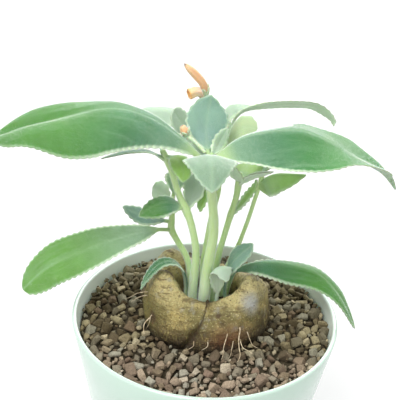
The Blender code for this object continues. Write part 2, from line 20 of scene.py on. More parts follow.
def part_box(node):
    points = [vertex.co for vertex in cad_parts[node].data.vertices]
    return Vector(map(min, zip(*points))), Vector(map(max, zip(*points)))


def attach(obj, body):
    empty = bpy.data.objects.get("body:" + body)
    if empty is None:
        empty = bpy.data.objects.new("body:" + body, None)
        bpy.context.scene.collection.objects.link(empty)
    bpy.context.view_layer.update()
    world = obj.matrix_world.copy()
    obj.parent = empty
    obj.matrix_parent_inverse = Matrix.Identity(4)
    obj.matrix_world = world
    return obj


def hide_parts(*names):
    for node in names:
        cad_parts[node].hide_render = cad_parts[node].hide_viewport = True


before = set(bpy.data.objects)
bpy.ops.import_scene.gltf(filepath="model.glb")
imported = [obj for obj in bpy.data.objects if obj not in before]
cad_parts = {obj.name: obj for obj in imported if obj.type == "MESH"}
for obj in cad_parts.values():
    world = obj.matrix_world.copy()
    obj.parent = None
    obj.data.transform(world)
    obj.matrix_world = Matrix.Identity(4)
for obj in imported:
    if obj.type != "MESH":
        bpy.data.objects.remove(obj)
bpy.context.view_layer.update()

MM = 0.001
BODY = "root"
LOG = logging.getLogger("sinningia")

POT_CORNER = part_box("pot")[1]
POT_HEIGHT = POT_CORNER.z / MM
RIM_RADIUS = POT_CORNER.x / MM
BASE_RADIUS = 46.0
WALL = 2.2
FLOOR = 5.0
GAP = 0.3

GRAVEL_TOP = 102.2
CROWN_TOP = 113.0
STEM_BASE = CROWN_TOP + GAP

CURVE_STEPS = 24  # from each knot of a fine curve to the next
STEM_STEPS = 3  # the same for a stem in the part's own solids, where the leaves' feet are found


class Slot(Enum):
    """The record's material slots."""

    POT = "pot"
    GRAVEL = "gravel"
    TUBER = "tuber"
    STEM = "stem"
    LEAF = "leaf"
    CALYX = "calyx"
    COROLLA = "corolla"


class Tone(Enum):
    """Leaf colours, as (heart, tip) of the upper face: partly where it is young, old, thin or
    woolly, and partly painted light, the lighter tones being given to leaves that sit in shade.
    """

    MEADOW = ((0.070, 0.200, 0.105), (0.065, 0.220, 0.028))
    FRESH = ((0.230, 0.365, 0.220), (0.115, 0.285, 0.045))
    BLUE = ((0.215, 0.345, 0.300), (0.205, 0.355, 0.270))
    SILVER = ((0.255, 0.345, 0.235), (0.200, 0.310, 0.205))
    # painted light: a pale tone that lifts a leaf facing away in shade
    PAINTED_LIGHT = ((0.680, 0.780, 0.650), (0.620, 0.740, 0.600))
    # painted light: a bright yellow-green for leaves low in the plant, where light shines through
    # them in shade
    LIME = ((0.340, 0.520, 0.170), (0.310, 0.540, 0.120))
    # painted light: lifts a leaf in the shade of the main right leaf
    SUNLIT = ((0.480, 0.690, 0.310), (0.430, 0.700, 0.220))
    FROST = ((0.400, 0.490, 0.390), (0.350, 0.470, 0.350))
    PALE = ((0.360, 0.470, 0.240), (0.400, 0.510, 0.280))
    # painted light: a pale tone that lifts leaves in the shade of the top leaves
    PEARL = ((0.520, 0.620, 0.500), (0.470, 0.590, 0.460))
    SPRUCE = ((0.065, 0.185, 0.095), (0.020, 0.185, 0.006))
    DEEP = ((0.050, 0.130, 0.080), (0.055, 0.170, 0.065))


def smoothstep(low: float, high: float, value: float) -> float:
    """Returns 0 below low, 1 above high and an even ramp between them."""
    share = min(max((value - low) / (high - low), 0.0), 1.0)
    return share * share * (3 - 2 * share)


def near_angle(angle: float, centre: float, spread: float) -> float:
    """Returns a bell that is 1 at the centre azimuth and dies away over the spread, in degrees."""
    off = (angle - centre + 180) % 360 - 180
    return math.exp(-((off / spread) ** 2))


def smooth_path(points: tuple, steps: int) -> list[tuple[Vector, float]]:
    """Draws one smooth curve through all the given points.

    Args:
        points: (x, y, z, radius) knots, in millimetres.
        steps: How many steps to take from each knot to the next.

    Returns:
        (point, radius) pairs along the curve.
    """
    knots = [points[0], *points, points[-1]]
    path = []
    for a, b, c, d in zip(knots, knots[1:], knots[2:], knots[3:]):
        for step in range(steps):
            t = step / steps
            here = [
                0.5 * (2 * q + (r - p) * t + (2 * p - 5 * q + 4 * r - s) * t * t
                       + (3 * q - p - 3 * r + s) * t ** 3)
                for p, q, r, s in zip(a, b, c, d)
            ]
            path.append((Vector(here[:3]), here[3]))
    path.append((Vector(points[-1][:3]), points[-1][3]))
    return path


def even_path(points: tuple, pitch: float) -> list[tuple[Vector, float]]:
    """Draws the smooth curve through the given points in even steps.

    Args:
        points: (x, y, z, radius) knots, in millimetres.
        pitch: About how far apart the steps are, in millimetres.

    Returns:
        (point, radius) pairs along the curve.
    """
    path = smooth_path(points, CURVE_STEPS)
    reached = [0.0]
    for (here, _), (after, _) in zip(path, path[1:]):
        reached.append(reached[-1] + (after - here).length)
    count = max(round(reached[-1] / pitch), 2)
    even = []
    index = 0
    for step in range(count + 1):
        goal = reached[-1] * step / count
        while index < len(path) - 2 and reached[index + 1] < goal:
            index += 1
        span = max(reached[index + 1] - reached[index], 1e-9)
        share = min((goal - reached[index]) / span, 1.0)
        (low, thin), (high, thick) = path[index], path[index + 1]
        even.append((low.lerp(high, share), thin + (thick - thin) * share))
    return even


def headings(path: list[tuple[Vector, float]]) -> list[Vector]:
    """Finds which way a path runs.

    Args:
        path: (point, radius) pairs.

    Returns:
        The unit direction at each point.
    """
    last = len(path) - 1
    return [(path[min(i + 1, last)][0] - path[max(i - 1, 0)][0]).normalized()
            for i in range(last + 1)]


class Recipe:
    """A material put together node by node round one Principled shader. Lengths are millimetres."""

    def __init__(self, name: str, **uniform: float | tuple) -> None:
        """Starts a material.

        Args:
            name: The material's name.
            uniform: Values that are the same all over, by their socket's name in lower case.
        """
        self.material = bpy.data.materials.new(name)
        self.material.use_nodes = True
        self.tree = self.material.node_tree
        self.shader = self.tree.nodes["Principled BSDF"]
        sockets = {s.name.lower().replace(" ", "_"): s for s in self.shader.inputs}
        for key, value in uniform.items():
            sockets[key].default_value = value

    def node(self, kind: str, *inputs: object, **settings: object) -> bpy.types.Node:
        """Adds a node.

        Args:
            kind: The node's type.
            inputs: What goes in its sockets, in order; None leaves one as it is.
            settings: The node's own settings.

        Returns:
            The new node.
        """
        made = self.tree.nodes.new(kind)
        for key, value in settings.items():
            setattr(made, key, value)
        for socket, value in zip([s for s in made.inputs if s.enabled], inputs):
            if isinstance(value, bpy.types.NodeSocket):
                self.tree.links.new(value, socket)
            elif value is not None:
                socket.default_value = value
        return made

    def spot(self) -> bpy.types.NodeSocket:
        """Returns the place on the piece, in millimetres of the frame."""
        place = self.node("ShaderNodeTexCoord").outputs["Object"]
        return self.stretched(place, (1 / MM, 1 / MM, 1 / MM))

    def stretched(self, place: bpy.types.NodeSocket, scale: tuple) -> bpy.types.NodeSocket:
        """Returns a place with each of its axes scaled."""
        return self.node("ShaderNodeVectorMath", place, scale, operation="MULTIPLY").outputs[0]

    def value(self, name: str) -> bpy.types.NodeSocket:
        """Returns a number kept in the mesh under a name."""
        return self.node("ShaderNodeAttribute", attribute_name=name).outputs["Fac"]

    def surface(self, name: str) -> bpy.types.NodeSocket:
        """Returns a place along the surface kept in the mesh under a name."""
        return self.node("ShaderNodeAttribute", attribute_name=name).outputs["Vector"]

    def cloud(self, place: bpy.types.NodeSocket, size: float, detail: float = 3.0,
              roughness: float = 0.5) -> bpy.types.NodeSocket:
        """Returns soft noise between 0 and 1 with patches of about the given size."""
        made = self.node("ShaderNodeTexNoise", place, 1 / size, detail, roughness)
        return made.outputs[0]

    def cells(self, place: bpy.types.NodeSocket, size: float,
              feature: str = "DISTANCE_TO_EDGE") -> bpy.types.NodeSocket:
        """Returns the distance inside cells of about the given size."""
        made = self.node("ShaderNodeTexVoronoi", place, 1 / size, feature=feature)
        return made.outputs["Distance"]

    def maths(self, operation: str, *inputs: object) -> bpy.types.NodeSocket:
        """Returns the outcome of one sum."""
        return self.node("ShaderNodeMath", *inputs, operation=operation).outputs[0]

    def band(self, value: bpy.types.NodeSocket, low: float, high: float,
             start: float = 0.0, end: float = 1.0) -> bpy.types.NodeSocket:
        """Turns a number into a smooth change.

        Args:
            value: The number.
            low: Where it starts to change.
            high: Where it stops.
            start: What it gives at low and below.
            end: What it gives at high and above.

        Returns:
            The new number's socket.
        """
        made = self.node("ShaderNodeMapRange", value, low, high, start, end,
                         interpolation_type="SMOOTHSTEP")
        return made.outputs[0]

    def height(self) -> bpy.types.NodeSocket:
        """Returns the height above the base, in millimetres."""
        return self.node("ShaderNodeSeparateXYZ", self.spot()).outputs[2]

    def ball(self, centre: tuple, radius: float) -> bpy.types.NodeSocket:
        """Returns 1 at a point of the frame, fading to 0 at a radius from it."""
        off = self.node("ShaderNodeVectorMath", self.spot(), centre, operation="DISTANCE")
        return self.band(off.outputs["Value"], 0.0, radius, 1.0, 0.0)

    def mix(self, share: object, first: object, second: object,
            way: str = "MIX") -> bpy.types.NodeSocket:
        """Returns a colour between two colours.

        Args:
            share: How much of the second one, from 0 to 1.
            first: A colour or a colour socket.
            second: A colour or a colour socket.
            way: The blend mode.

        Returns:
            The mixed colour's socket.
        """
        colours = [(*c, 1.0) if isinstance(c, tuple) else c for c in (first, second)]
        made = self.node("ShaderNodeMix", share, *colours, data_type="RGBA", blend_type=way)
        return next(s for s in made.outputs if s.enabled)

    def ramp(self, value: bpy.types.NodeSocket, *stops: tuple,
             blend: str = "LINEAR") -> bpy.types.NodeSocket:
        """Looks a colour up along a run of stops.

        Args:
            value: Where to look, from 0 to 1.
            stops: (place, colour) pairs.
            blend: How the colour goes from one stop to the next.

        Returns:
            The colour's socket.
        """
        made = self.node("ShaderNodeValToRGB", value)
        made.color_ramp.interpolation = blend
        elements = made.color_ramp.elements
        while len(elements) < len(stops):
            elements.new(1.0)
        for element, (place, colour) in zip(elements, stops):
            element.position = place
            element.color = (*colour, 1.0)
        return made.outputs["Color"]

    def paint(self, colour: bpy.types.NodeSocket) -> None:
        """Gives the shader its colour."""
        self.tree.links.new(colour, self.shader.inputs["Base Color"])

    def polish(self, roughness: bpy.types.NodeSocket) -> None:
        """Gives the shader its roughness."""
        self.tree.links.new(roughness, self.shader.inputs["Roughness"])

    def relief(self, *heights: tuple) -> None:
        """Raises the shader's surface.

        Args:
            heights: (height socket, depth in millimetres) pairs.
        """
        normal = None
        for height, depth in heights:
            bump = self.node("ShaderNodeBump", 1.0, depth * MM)
            self.tree.links.new(height, bump.inputs["Height"])
            if normal:
                self.tree.links.new(normal, bump.inputs["Normal"])
            normal = bump.outputs["Normal"]
        self.tree.links.new(normal, self.shader.inputs["Normal"])


@dataclass(frozen=True)
class PotFinish:
    """Pale mint gloss, with a little dust low down, and painted light on the shaded inner wall: a
    paler grey of its own.
    """

    mint: tuple = (0.49, 0.64, 0.55)
    pale: tuple = (0.53, 0.67, 0.58)
    dust: tuple = (0.52, 0.60, 0.50)
    # the inner wall's colour: painted light, set to how bright its shaded face looks
    inner_wall_painted_light: tuple = (0.72, 0.79, 0.73)

    def material(self) -> bpy.types.Material:
        """Makes the pot's material.

        Returns:
            The material.
        """
        recipe = Recipe("pot_gloss", roughness=0.24, coat_weight=0.35, coat_roughness=0.08,
                        subsurface_weight=0.25, subsurface_radius=(1.0, 1.0, 0.9),
                        subsurface_scale=0.003)
        spot = recipe.spot()
        shade = recipe.mix(recipe.cloud(spot, 30.0), self.mint, self.pale)
        place = recipe.node("ShaderNodeSeparateXYZ", spot)
        reach = recipe.node("ShaderNodeVectorMath", recipe.stretched(spot, (1.0, 1.0, 0.0)),
                            operation="LENGTH").outputs["Value"]
        taper = (RIM_RADIUS - BASE_RADIUS) / POT_HEIGHT
        outwards = recipe.maths("SUBTRACT", reach,
                                recipe.maths("MULTIPLY", place.outputs[2], taper))
        # Painted light: the inner wall takes a paler grey of its own, set to how bright its shaded
        # face looks.
        inside = recipe.band(outwards, BASE_RADIUS - WALL, BASE_RADIUS - 0.5 * WALL, 0.9, 0.0)
        shade = recipe.mix(inside, shade, self.inner_wall_painted_light)
        dust_and_painted_light = recipe.band(recipe.cloud(spot, 3.0, 6.0, 0.7), 0.55, 0.75, 0.0, 0.22)
        low = recipe.band(recipe.height(), 0.0, 14.0, 1.0, 0.15)
        recipe.paint(recipe.mix(recipe.maths("MULTIPLY", dust_and_painted_light, low), shade, self.dust))
        return recipe.material


@dataclass(frozen=True)
class FillFinish:
    """The dark packed fines under the loose grit."""

    deep: tuple = (0.022, 0.017, 0.010)
    light: tuple = (0.090, 0.072, 0.042)

    def material(self) -> bpy.types.Material:
        """Makes the fill's material.

        Returns:
            The material.
        """
        recipe = Recipe("packed_fines", roughness=0.95, specular_ior_level=0.2)
        spot = recipe.spot()
        grit = recipe.cells(spot, 1.6, "F1")
        recipe.paint(recipe.mix(recipe.cloud(spot, 1.3, 5.0), self.deep, self.light))
        recipe.relief((grit, -0.8))
        return recipe.material


@dataclass(frozen=True)
class StoneFinish:
    """Porous grit: each grain has its own tone, speckles and pores.

    near and far hold (share, colour) stops of the tones at the front and at the back: painted light
    and shade, lighter grains at the front and darker ones at the back.
    """

    near: tuple = (
        (0.0, (0.230, 0.172, 0.128)), (0.22, (0.340, 0.270, 0.205)),
        (0.40, (0.270, 0.235, 0.180)), (0.56, (0.420, 0.330, 0.250)),
        (0.70, (0.220, 0.170, 0.115)), (0.80, (0.370, 0.350, 0.290)),
        (0.91, (0.520, 0.450, 0.360)), (0.97, (0.260, 0.185, 0.140)),
    )
    far: tuple = (
        (0.0, (0.085, 0.066, 0.034)), (0.20, (0.205, 0.170, 0.095)),
        (0.38, (0.140, 0.122, 0.078)), (0.52, (0.290, 0.250, 0.150)),
        (0.66, (0.110, 0.078, 0.042)), (0.76, (0.250, 0.235, 0.175)),
        (0.88, (0.440, 0.380, 0.250)), (0.97, (0.155, 0.112, 0.070)),
    )
    # painted light for the grains at the back
    dust_and_painted_light: tuple = (0.34, 0.30, 0.19)
    pore: tuple = (0.06, 0.045, 0.035)

    def material(self) -> bpy.types.Material:
        """Makes the grains' material.

        Returns:
            The material.
        """
        recipe = Recipe("porous_grit", roughness=0.9, specular_ior_level=0.25)
        spot = recipe.spot()
        near = recipe.ramp(recipe.value("tone"), *self.near, blend="CONSTANT")
        far = recipe.ramp(recipe.value("tone"), *self.far, blend="CONSTANT")
        place = recipe.node("ShaderNodeSeparateXYZ", spot)
        # Painted light and shade: grains at the front take the lighter tones, those at the back the
        # darker ones.
        tone = recipe.mix(recipe.band(place.outputs[1], -44.0, -14.0), near, far)
        # Painted light: grains behind the tuber are lifted towards a pale yellow-grey.
        tone = recipe.mix(recipe.band(place.outputs[1], 5.0, 35.0, 0.0, 0.35), tone, self.dust_and_painted_light)
        speckle = recipe.cloud(spot, 0.9, 5.0, 0.7)
        pores = recipe.band(recipe.cells(spot, 0.55, "F1"), 0.12, 0.42)
        light = recipe.mix(speckle, (0.50, 0.49, 0.46), (1.45, 1.43, 1.36))
        shade = recipe.mix(1.0, tone, light, "MULTIPLY")
        recipe.paint(recipe.mix(recipe.band(pores, 0.0, 1.0, 0.45, 0.0), shade, self.pore))
        recipe.relief((pores, 0.16), (speckle, 0.35))
        return recipe.material


@dataclass(frozen=True)
class TuberFinish:
    """The tuber's tan skin, with mottling, pits, earth stain low down and a silvery scuffed patch
    that carries a painted highlight; painted light on the lobe tops, and painted shade on the left
    flank, the foot, the pits, the crease and the sunken crown.

    Balls (centre, radius) of the frame, in millimetres, place the painted shade of the left flank,
    the scuffed patch with its painted highlight, the ruddy tint and the scars.
    """

    tan: tuple = (0.45, 0.355, 0.120)
    pale: tuple = (0.72, 0.63, 0.32)
    olive: tuple = (0.185, 0.155, 0.045)
    rust: tuple = (0.20, 0.085, 0.04)
    # earth stain and painted contact shade round the foot
    soil_and_contact_shade: tuple = (0.035, 0.025, 0.014)
    silver: tuple = (0.40, 0.40, 0.37)
    scar: tuple = (0.085, 0.050, 0.022)
    umber: tuple = (0.125, 0.088, 0.030)
    # earth stain low down, deepened as painted shade
    soil_stain_and_shade: tuple = (0.075, 0.050, 0.022)
    freckles: tuple = (0.06, 0.040, 0.018)
    # the colour of the painted shade in the pits, the crease and the sunken crown
    sunken_shade: tuple = (0.045, 0.026, 0.012)
    # where the painted shade of the left flank sits
    flank: tuple = ((-30.0, -8.0, 114.0), 21.0)
    # a silvery scuffed patch, painted partly as the highlight there
    scuff_and_highlight: tuple = ((21.0, -11.3, 122.0), 8.0)
    ruddy: tuple = ((12.0, -23.0, 107.5), 15.0)
    scars: tuple = (
        ((-19.0, -2.0, 130.5), 6.5), ((19.7, -2.7, 127.5), 2.4), ((15.5, -14.8, 120.5), 2.8),
        ((6.3, -18.5, 118.0), 2.2), ((-25.9, -14.8, 112.5), 5.0), ((2.0, -22.0, 108.0), 3.5),
    )

    def material(self) -> bpy.types.Material:
        """Makes the tuber's material.

        Returns:
            The material.
        """
        recipe = Recipe("tuber_skin", roughness=0.55, specular_ior_level=0.4,
                        subsurface_weight=0.06, subsurface_scale=0.002)
        spot = recipe.spot()
        broad = recipe.cloud(spot, 11.0, 3.0)
        fine = recipe.cloud(spot, 0.9, 6.0, 0.70)
        grey = recipe.cloud(spot, 5.0, 4.0, 0.6)
        skin = recipe.mix(recipe.band(broad, 0.38, 0.60), self.olive, self.tan)
        # Painted light: the lobe tops are paler, where the light from above falls.
        top_painted_light = recipe.band(recipe.height(), 117.0, 126.0, 0.0, 0.45)
        skin = recipe.mix(top_painted_light, skin, self.pale)
        skin = recipe.mix(recipe.band(fine, 0.34, 0.47, 0.75, 0.0), skin, self.olive)
        skin = recipe.mix(recipe.band(fine, 0.52, 0.68, 0.0, 0.85), skin, self.pale)
        blotch = recipe.cloud(spot, 3.4, 5.0, 0.65)
        skin = recipe.mix(recipe.band(blotch, 0.55, 0.68, 0.0, 0.70), skin, self.umber)
        skin = recipe.mix(recipe.band(grey, 0.54, 0.72, 0.0, 0.5), skin, self.silver)
        wrinkles = recipe.cloud(recipe.stretched(spot, (0.30, 0.30, 1.4)), 1.6, 4.0, 0.6)
        skin = recipe.mix(recipe.band(wrinkles, 0.52, 0.66, 0.0, 0.75), skin, self.umber)
        grained = recipe.cloud(recipe.stretched(spot, (1.0, 1.0, 0.22)), 0.9, 5.0, 0.6)
        # Earth stain low down, made darker towards the foot as painted shade as well.
        low = recipe.band(recipe.height(), 107.0, 119.0, 1.0, 0.20)
        stain_and_shade_share = recipe.maths("MULTIPLY", recipe.band(grained, 0.30, 0.54, 0.1, 0.94), low)
        skin = recipe.mix(stain_and_shade_share, skin, self.soil_stain_and_shade)
        # Painted shade: the left flank is darkened towards olive.
        flank = recipe.maths("MULTIPLY", recipe.ball(*self.flank), 0.95)
        skin = recipe.mix(flank, skin, self.olive)
        for centre, radius in self.scars:
            near = recipe.maths("MULTIPLY", recipe.ball(centre, radius),
                                recipe.band(fine, 0.30, 0.60, 0.8, 2.2))
            skin = recipe.mix(recipe.maths("MINIMUM", near, 0.9), skin, self.scar)
        # A silvery scuffed patch on the right lobe, painted partly as the highlight that falls
        # there.
        scuff_and_highlight = recipe.maths("MULTIPLY", recipe.ball(*self.scuff_and_highlight),
                             recipe.band(fine, 0.30, 0.60, 0.6, 1.2))
        skin = recipe.mix(scuff_and_highlight, skin, self.silver)
        ruddy = recipe.maths("MULTIPLY", recipe.ball(*self.ruddy),
                             recipe.band(broad, 0.30, 0.60, 0.35, 0.9))
        skin = recipe.mix(ruddy, skin, self.rust)
        speck = recipe.band(recipe.cells(spot, 0.9, "F1"), 0.08, 0.20, 0.70, 0.0)
        skin = recipe.mix(speck, skin, self.umber)
        freckle = recipe.band(recipe.cells(spot, 2.6, "F1"), 0.06, 0.17, 0.85, 0.0)
        skin = recipe.mix(freckle, skin, self.freckles)
        # Earth stain and painted contact shade: near black round the foot, where the tuber meets
        # the grit.
        edge = recipe.maths("ADD", recipe.height(), recipe.band(fine, 0.3, 0.7, -3.0, 3.0))
        skin = recipe.mix(recipe.band(edge, 102.5, 108.5, 0.92, 0.0), skin, self.soil_and_contact_shade)
        # Painted shade: the pits, the crease and the sunken crown are darkened by how deep they
        # lie.
        skin = recipe.mix(recipe.value("painted_shade"), skin, self.sunken_shade)
        recipe.paint(skin)
        recipe.polish(recipe.band(fine, 0.3, 0.7, 0.40, 0.70))
        recipe.relief((grained, 0.15), (wrinkles, 0.60), (fine, 0.70),
                      (recipe.cells(spot, 1.1, "F1"), 0.15))
        return recipe.material


@dataclass(frozen=True)
class RootFinish:
    """Dry beige rootlets."""

    light: tuple = (0.66, 0.55, 0.38)
    dark: tuple = (0.36, 0.26, 0.15)

    def material(self) -> bpy.types.Material:
        """Makes the rootlets' material.

        Returns:
            The material.
        """
        recipe = Recipe("rootlet", roughness=0.75)
        knots = recipe.cloud(recipe.spot(), 1.5, 4.0)
        recipe.paint(recipe.mix(recipe.band(knots, 0.4, 0.7), self.light, self.dark))
        recipe.relief((knots, 0.15))
        return recipe.material


@dataclass(frozen=True)
class StemFinish:
    """Soft green stem skin, paler and woollier at the foot."""

    foot: tuple = (0.56, 0.70, 0.44)
    green: tuple = (0.49, 0.66, 0.28)
    top: tuple = (0.52, 0.68, 0.34)
    streak: tuple = (0.60, 0.74, 0.46)

    def material(self) -> bpy.types.Material:
        """Makes the stems' material.

        Returns:
            The material.
        """
        recipe = Recipe("stem_skin", roughness=0.55, sheen_weight=0.6, sheen_roughness=0.35,
                        sheen_tint=(0.95, 1.0, 0.93, 1.0), subsurface_weight=0.4,
                        subsurface_radius=(0.7, 1.0, 0.3), subsurface_scale=0.002)
        spot = recipe.spot()
        height = recipe.height()
        skin = recipe.mix(recipe.band(height, 116.0, 142.0), self.foot, self.green)
        skin = recipe.mix(recipe.band(height, 165.0, 195.0), skin, self.top)
        streaks = recipe.cloud(recipe.stretched(spot, (1.0, 1.0, 0.1)), 0.7, 4.0)
        skin = recipe.mix(recipe.band(streaks, 0.40, 0.70, 0.0, 0.35), skin, self.streak)
        recipe.paint(skin)
        recipe.relief((streaks, 0.10), (recipe.cloud(spot, 0.5, 3.0), 0.05))
        return recipe.material


class Face(Enum):
    """The faces of a leaf, in the order of its material slots."""

    UPPER = "upper"
    LOWER = "lower"
    RIM = "rim"


@dataclass(frozen=True)
class LeafFinish:
    """One face of a leaf of one tone: velvet over fine netted cells, with paler ribs."""

    tone: Tone
    face: Face
    rib: tuple = (0.34, 0.50, 0.30)
    pale_foot: tuple = (0.28, 0.43, 0.29)
    stalk: tuple = (0.42, 0.57, 0.27)
    wool: tuple = (0.60, 0.72, 0.53)
    # the edge faces' darker colour towards the tip
    dark_margin: tuple = (0.20, 0.17, 0.08)
    vein_share: float = 0.22

    def material(self) -> bpy.types.Material:
        """Makes the material of this face.

        Returns:
            The material.
        """
        recipe = Recipe(f"leaf_{self.tone.name.lower()}_{self.face.value}", roughness=0.62,
                        sheen_weight=0.40, sheen_roughness=0.32,
                        sheen_tint=(0.92, 1.0, 0.95, 1.0), subsurface_weight=0.25,
                        subsurface_radius=(0.6, 1.0, 0.35), subsurface_scale=0.0012,
                        specular_ior_level=0.3)
        heart, tip = self.tone.value
        grain = recipe.surface("blade")
        along = recipe.value("along")
        vein = recipe.value("vein")
        edge = recipe.value("edge")
        mottle = recipe.cloud(grain, 7.0, 4.0, 0.6)
        skin = recipe.mix(recipe.band(along, 0.22, 0.68), heart, tip)
        skin = recipe.mix(recipe.band(mottle, 0.35, 0.70, 0.0, 0.30), skin, self.deeper(tip))
        bands = recipe.cloud(recipe.stretched(grain, (0.05, 1.0, 1.0)), 2.4, 2.0)
        skin = recipe.mix(recipe.band(bands, 0.48, 0.75, 0.0, 0.25), skin, self.pale_foot)
        net = recipe.cells(grain, 0.9)
        skin = recipe.mix(recipe.band(net, 0.0, 0.12, 0.16, 0.0), skin, self.deeper(heart))
        skin = recipe.mix(recipe.band(along, 0.02, 0.36, 0.80, 0.0), skin, self.pale_foot)
        skin = recipe.mix(recipe.band(along, 0.06, 0.17, 1.0, 0.0), skin, self.stalk)
        skin = recipe.mix(recipe.maths("MULTIPLY", vein, self.vein_share), skin, self.rib)
        if self.face is Face.LOWER:
            skin = recipe.mix(0.50, skin, self.wool)
        woolly = recipe.band(along, 0.35, 0.75, 1.0, 0.35)
        rim = recipe.band(edge, 0.15, 1.1, 1.0, 0.0)
        skin = recipe.mix(recipe.maths("MULTIPLY", rim, woolly), skin, self.wool)
        # The edge faces turn darker from a quarter of the way along towards the tip.
        if self.face is Face.RIM:
            skin = recipe.mix(recipe.band(along, 0.25, 0.55, 0.0, 0.65), skin, self.dark_margin)
        recipe.paint(skin)
        recipe.relief((recipe.band(net, 0.0, 0.30), 0.07), (recipe.cloud(grain, 0.35), 0.05))
        return recipe.material

    @staticmethod
    def deeper(colour: tuple) -> tuple:
        """Returns a darker colour of the same hue."""
        return tuple(0.62 * channel for channel in colour)


@dataclass(frozen=True)
class DownFinish:
    """White hairs."""

    name: str = "white_down"
    colour: tuple = (0.86, 0.94, 0.86, 1.0)

    def material(self) -> bpy.types.Material:
        """Makes the hairs' material.

        Returns:
            The material.
        """
        recipe = Recipe(self.name, base_color=self.colour, roughness=0.55,
                        subsurface_weight=0.3, subsurface_scale=0.0005)
        return recipe.material


@dataclass(frozen=True)
class PetalFinish:
    """Salmon corolla, paler at its foot, golden at its mouth and brown at the very tip."""

    name: str
    foot: tuple = (0.84, 0.64, 0.44)
    body: tuple = (0.78, 0.47, 0.25)
    mouth: tuple = (0.84, 0.58, 0.33)
    tip: tuple = (0.20, 0.16, 0.12)
    pale: tuple = (0.84, 0.62, 0.44)
    throat: tuple = (0.74, 0.40, 0.13)
    streak: tuple = (0.66, 0.33, 0.13)

    def material(self) -> bpy.types.Material:
        """Makes the corolla's material.

        Returns:
            The material.
        """
        recipe = Recipe(self.name, roughness=0.5, sheen_weight=0.5, sheen_roughness=0.35,
                        sheen_tint=(1.0, 0.95, 0.85, 1.0), subsurface_weight=0.45,
                        subsurface_radius=(1.0, 0.6, 0.3), subsurface_scale=0.0015)
        along = recipe.value("along")
        streaks = recipe.cloud(recipe.stretched(recipe.surface("blade"), (3.0, 0.25, 1.0)), 1.2)
        skin = recipe.ramp(along, (0.0, self.foot), (0.22, self.body), (0.70, self.body),
                           (0.86, self.mouth), (0.93, self.mouth), (0.97, self.tip))
        skin = recipe.mix(recipe.band(streaks, 0.4, 0.7, 0.0, 0.30), skin, self.streak)
        recipe.paint(skin)
        recipe.relief((streaks, 0.08))
        return recipe.material


@dataclass(frozen=True)
class CalyxFinish:
    """Woolly pale green of the sepals and flower stalks."""

    green: tuple = (0.50, 0.66, 0.36)
    wool: tuple = (0.74, 0.82, 0.64)

    def material(self) -> bpy.types.Material:
        """Makes the calyx's material.

        Returns:
            The material.
        """
        recipe = Recipe("calyx_wool", roughness=0.6, sheen_weight=0.6, sheen_roughness=0.35,
                        subsurface_weight=0.3, subsurface_scale=0.001)
        fuzz = recipe.cloud(recipe.spot(), 0.8, 4.0)
        recipe.paint(recipe.mix(recipe.band(fuzz, 0.3, 0.7), self.green, self.wool))
        recipe.relief((fuzz, 0.12))
        return recipe.material


@dataclass(frozen=True)
class FloorFinish:
    """The plain white sweep that the pot stands on."""

    glow: float = 0.35

    def material(self) -> bpy.types.Material:
        """Makes the floor's material.

        Returns:
            The material.
        """
        recipe = Recipe("white_sweep", base_color=(0.45, 0.45, 0.45, 1.0), roughness=0.9,
                        emission_color=(1.0, 1.0, 1.0, 1.0), emission_strength=self.glow)
        return recipe.material


def drawn(name: str, shape: bmesh.types.BMesh) -> bpy.types.Mesh:
    """Turns a shape drawn in millimetres into a mesh in the frame's metres.

    Args:
        name: The mesh's name.
        shape: The bmesh, which is used up.

    Returns:
        The mesh.
    """
    bmesh.ops.scale(shape, vec=(MM, MM, MM), verts=shape.verts)
    mesh = bpy.data.meshes.new(name)
    shape.to_mesh(mesh)
    shape.free()
    return mesh


def placed(name: str, mesh: bpy.types.Mesh) -> bpy.types.Object:
    """Links a mesh into the scene as an object at the origin.

    Args:
        name: The object's name.
        mesh: The mesh, in metres.

    Returns:
        The object.
    """
    item = bpy.data.objects.new(name, mesh)
    bpy.context.scene.collection.objects.link(item)
    return item


def piece_of(name: str, shape: bmesh.types.BMesh, slot: Slot, *materials: bpy.types.Material,
             recalculate: bool = True) -> bpy.types.Object:
    """Makes a shape drawn in millimetres into a piece that rides on the part.

    Args:
        name: The piece's name.
        shape: The bmesh, which is used up.
        slot: The record's material slot.
        materials: The piece's materials, in order.
        recalculate: Whether to turn its faces outwards first.

    Returns:
        The piece.
    """
    if recalculate:
        bmesh.ops.recalc_face_normals(shape, faces=shape.faces)
    return publish(name, drawn(name, shape), slot, *materials)


def publish(name: str, mesh: bpy.types.Mesh, slot: Slot,
            *materials: bpy.types.Material) -> bpy.types.Object:
    """Makes a mesh into a piece that rides on the part.

    Args:
        name: The piece's name.
        mesh: The mesh, in metres.
        slot: The record's material slot; not used.
        materials: The piece's materials, in order.

    Returns:
        The piece.
    """
    item = placed(name, mesh)
    for material in materials:
        mesh.materials.append(material)
    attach(item, BODY)
    return item


def settle(item: bpy.types.Object) -> None:
    """Applies a piece's modifiers to its mesh.

    Args:
        item: The piece.
    """
    bpy.context.view_layer.update()
    evaluated = item.evaluated_get(bpy.context.evaluated_depsgraph_get())
    mesh = bpy.data.meshes.new_from_object(evaluated)
    item.modifiers.clear()
    item.data = mesh


def thicken(item: bpy.types.Object, thickness: float) -> bpy.types.Modifier:
    """Gives a sheet its thickness, half of it on each side, once its modifiers are applied.

    Args:
        item: The sheet's piece.
        thickness: How thick it is where it is thickest, in millimetres.

    Returns:
        The modifier that does it.
    """
    solid = item.modifiers.new("thicken", "SOLIDIFY")
    solid.thickness = thickness * MM
    solid.offset = 0.0
    return solid


def report(item: bpy.types.Object) -> None:
    """Logs a piece with its size in triangles."""
    item.data.calc_loop_triangles()
    LOG.info("%s: %d triangles", item.name, len(item.data.loop_triangles))


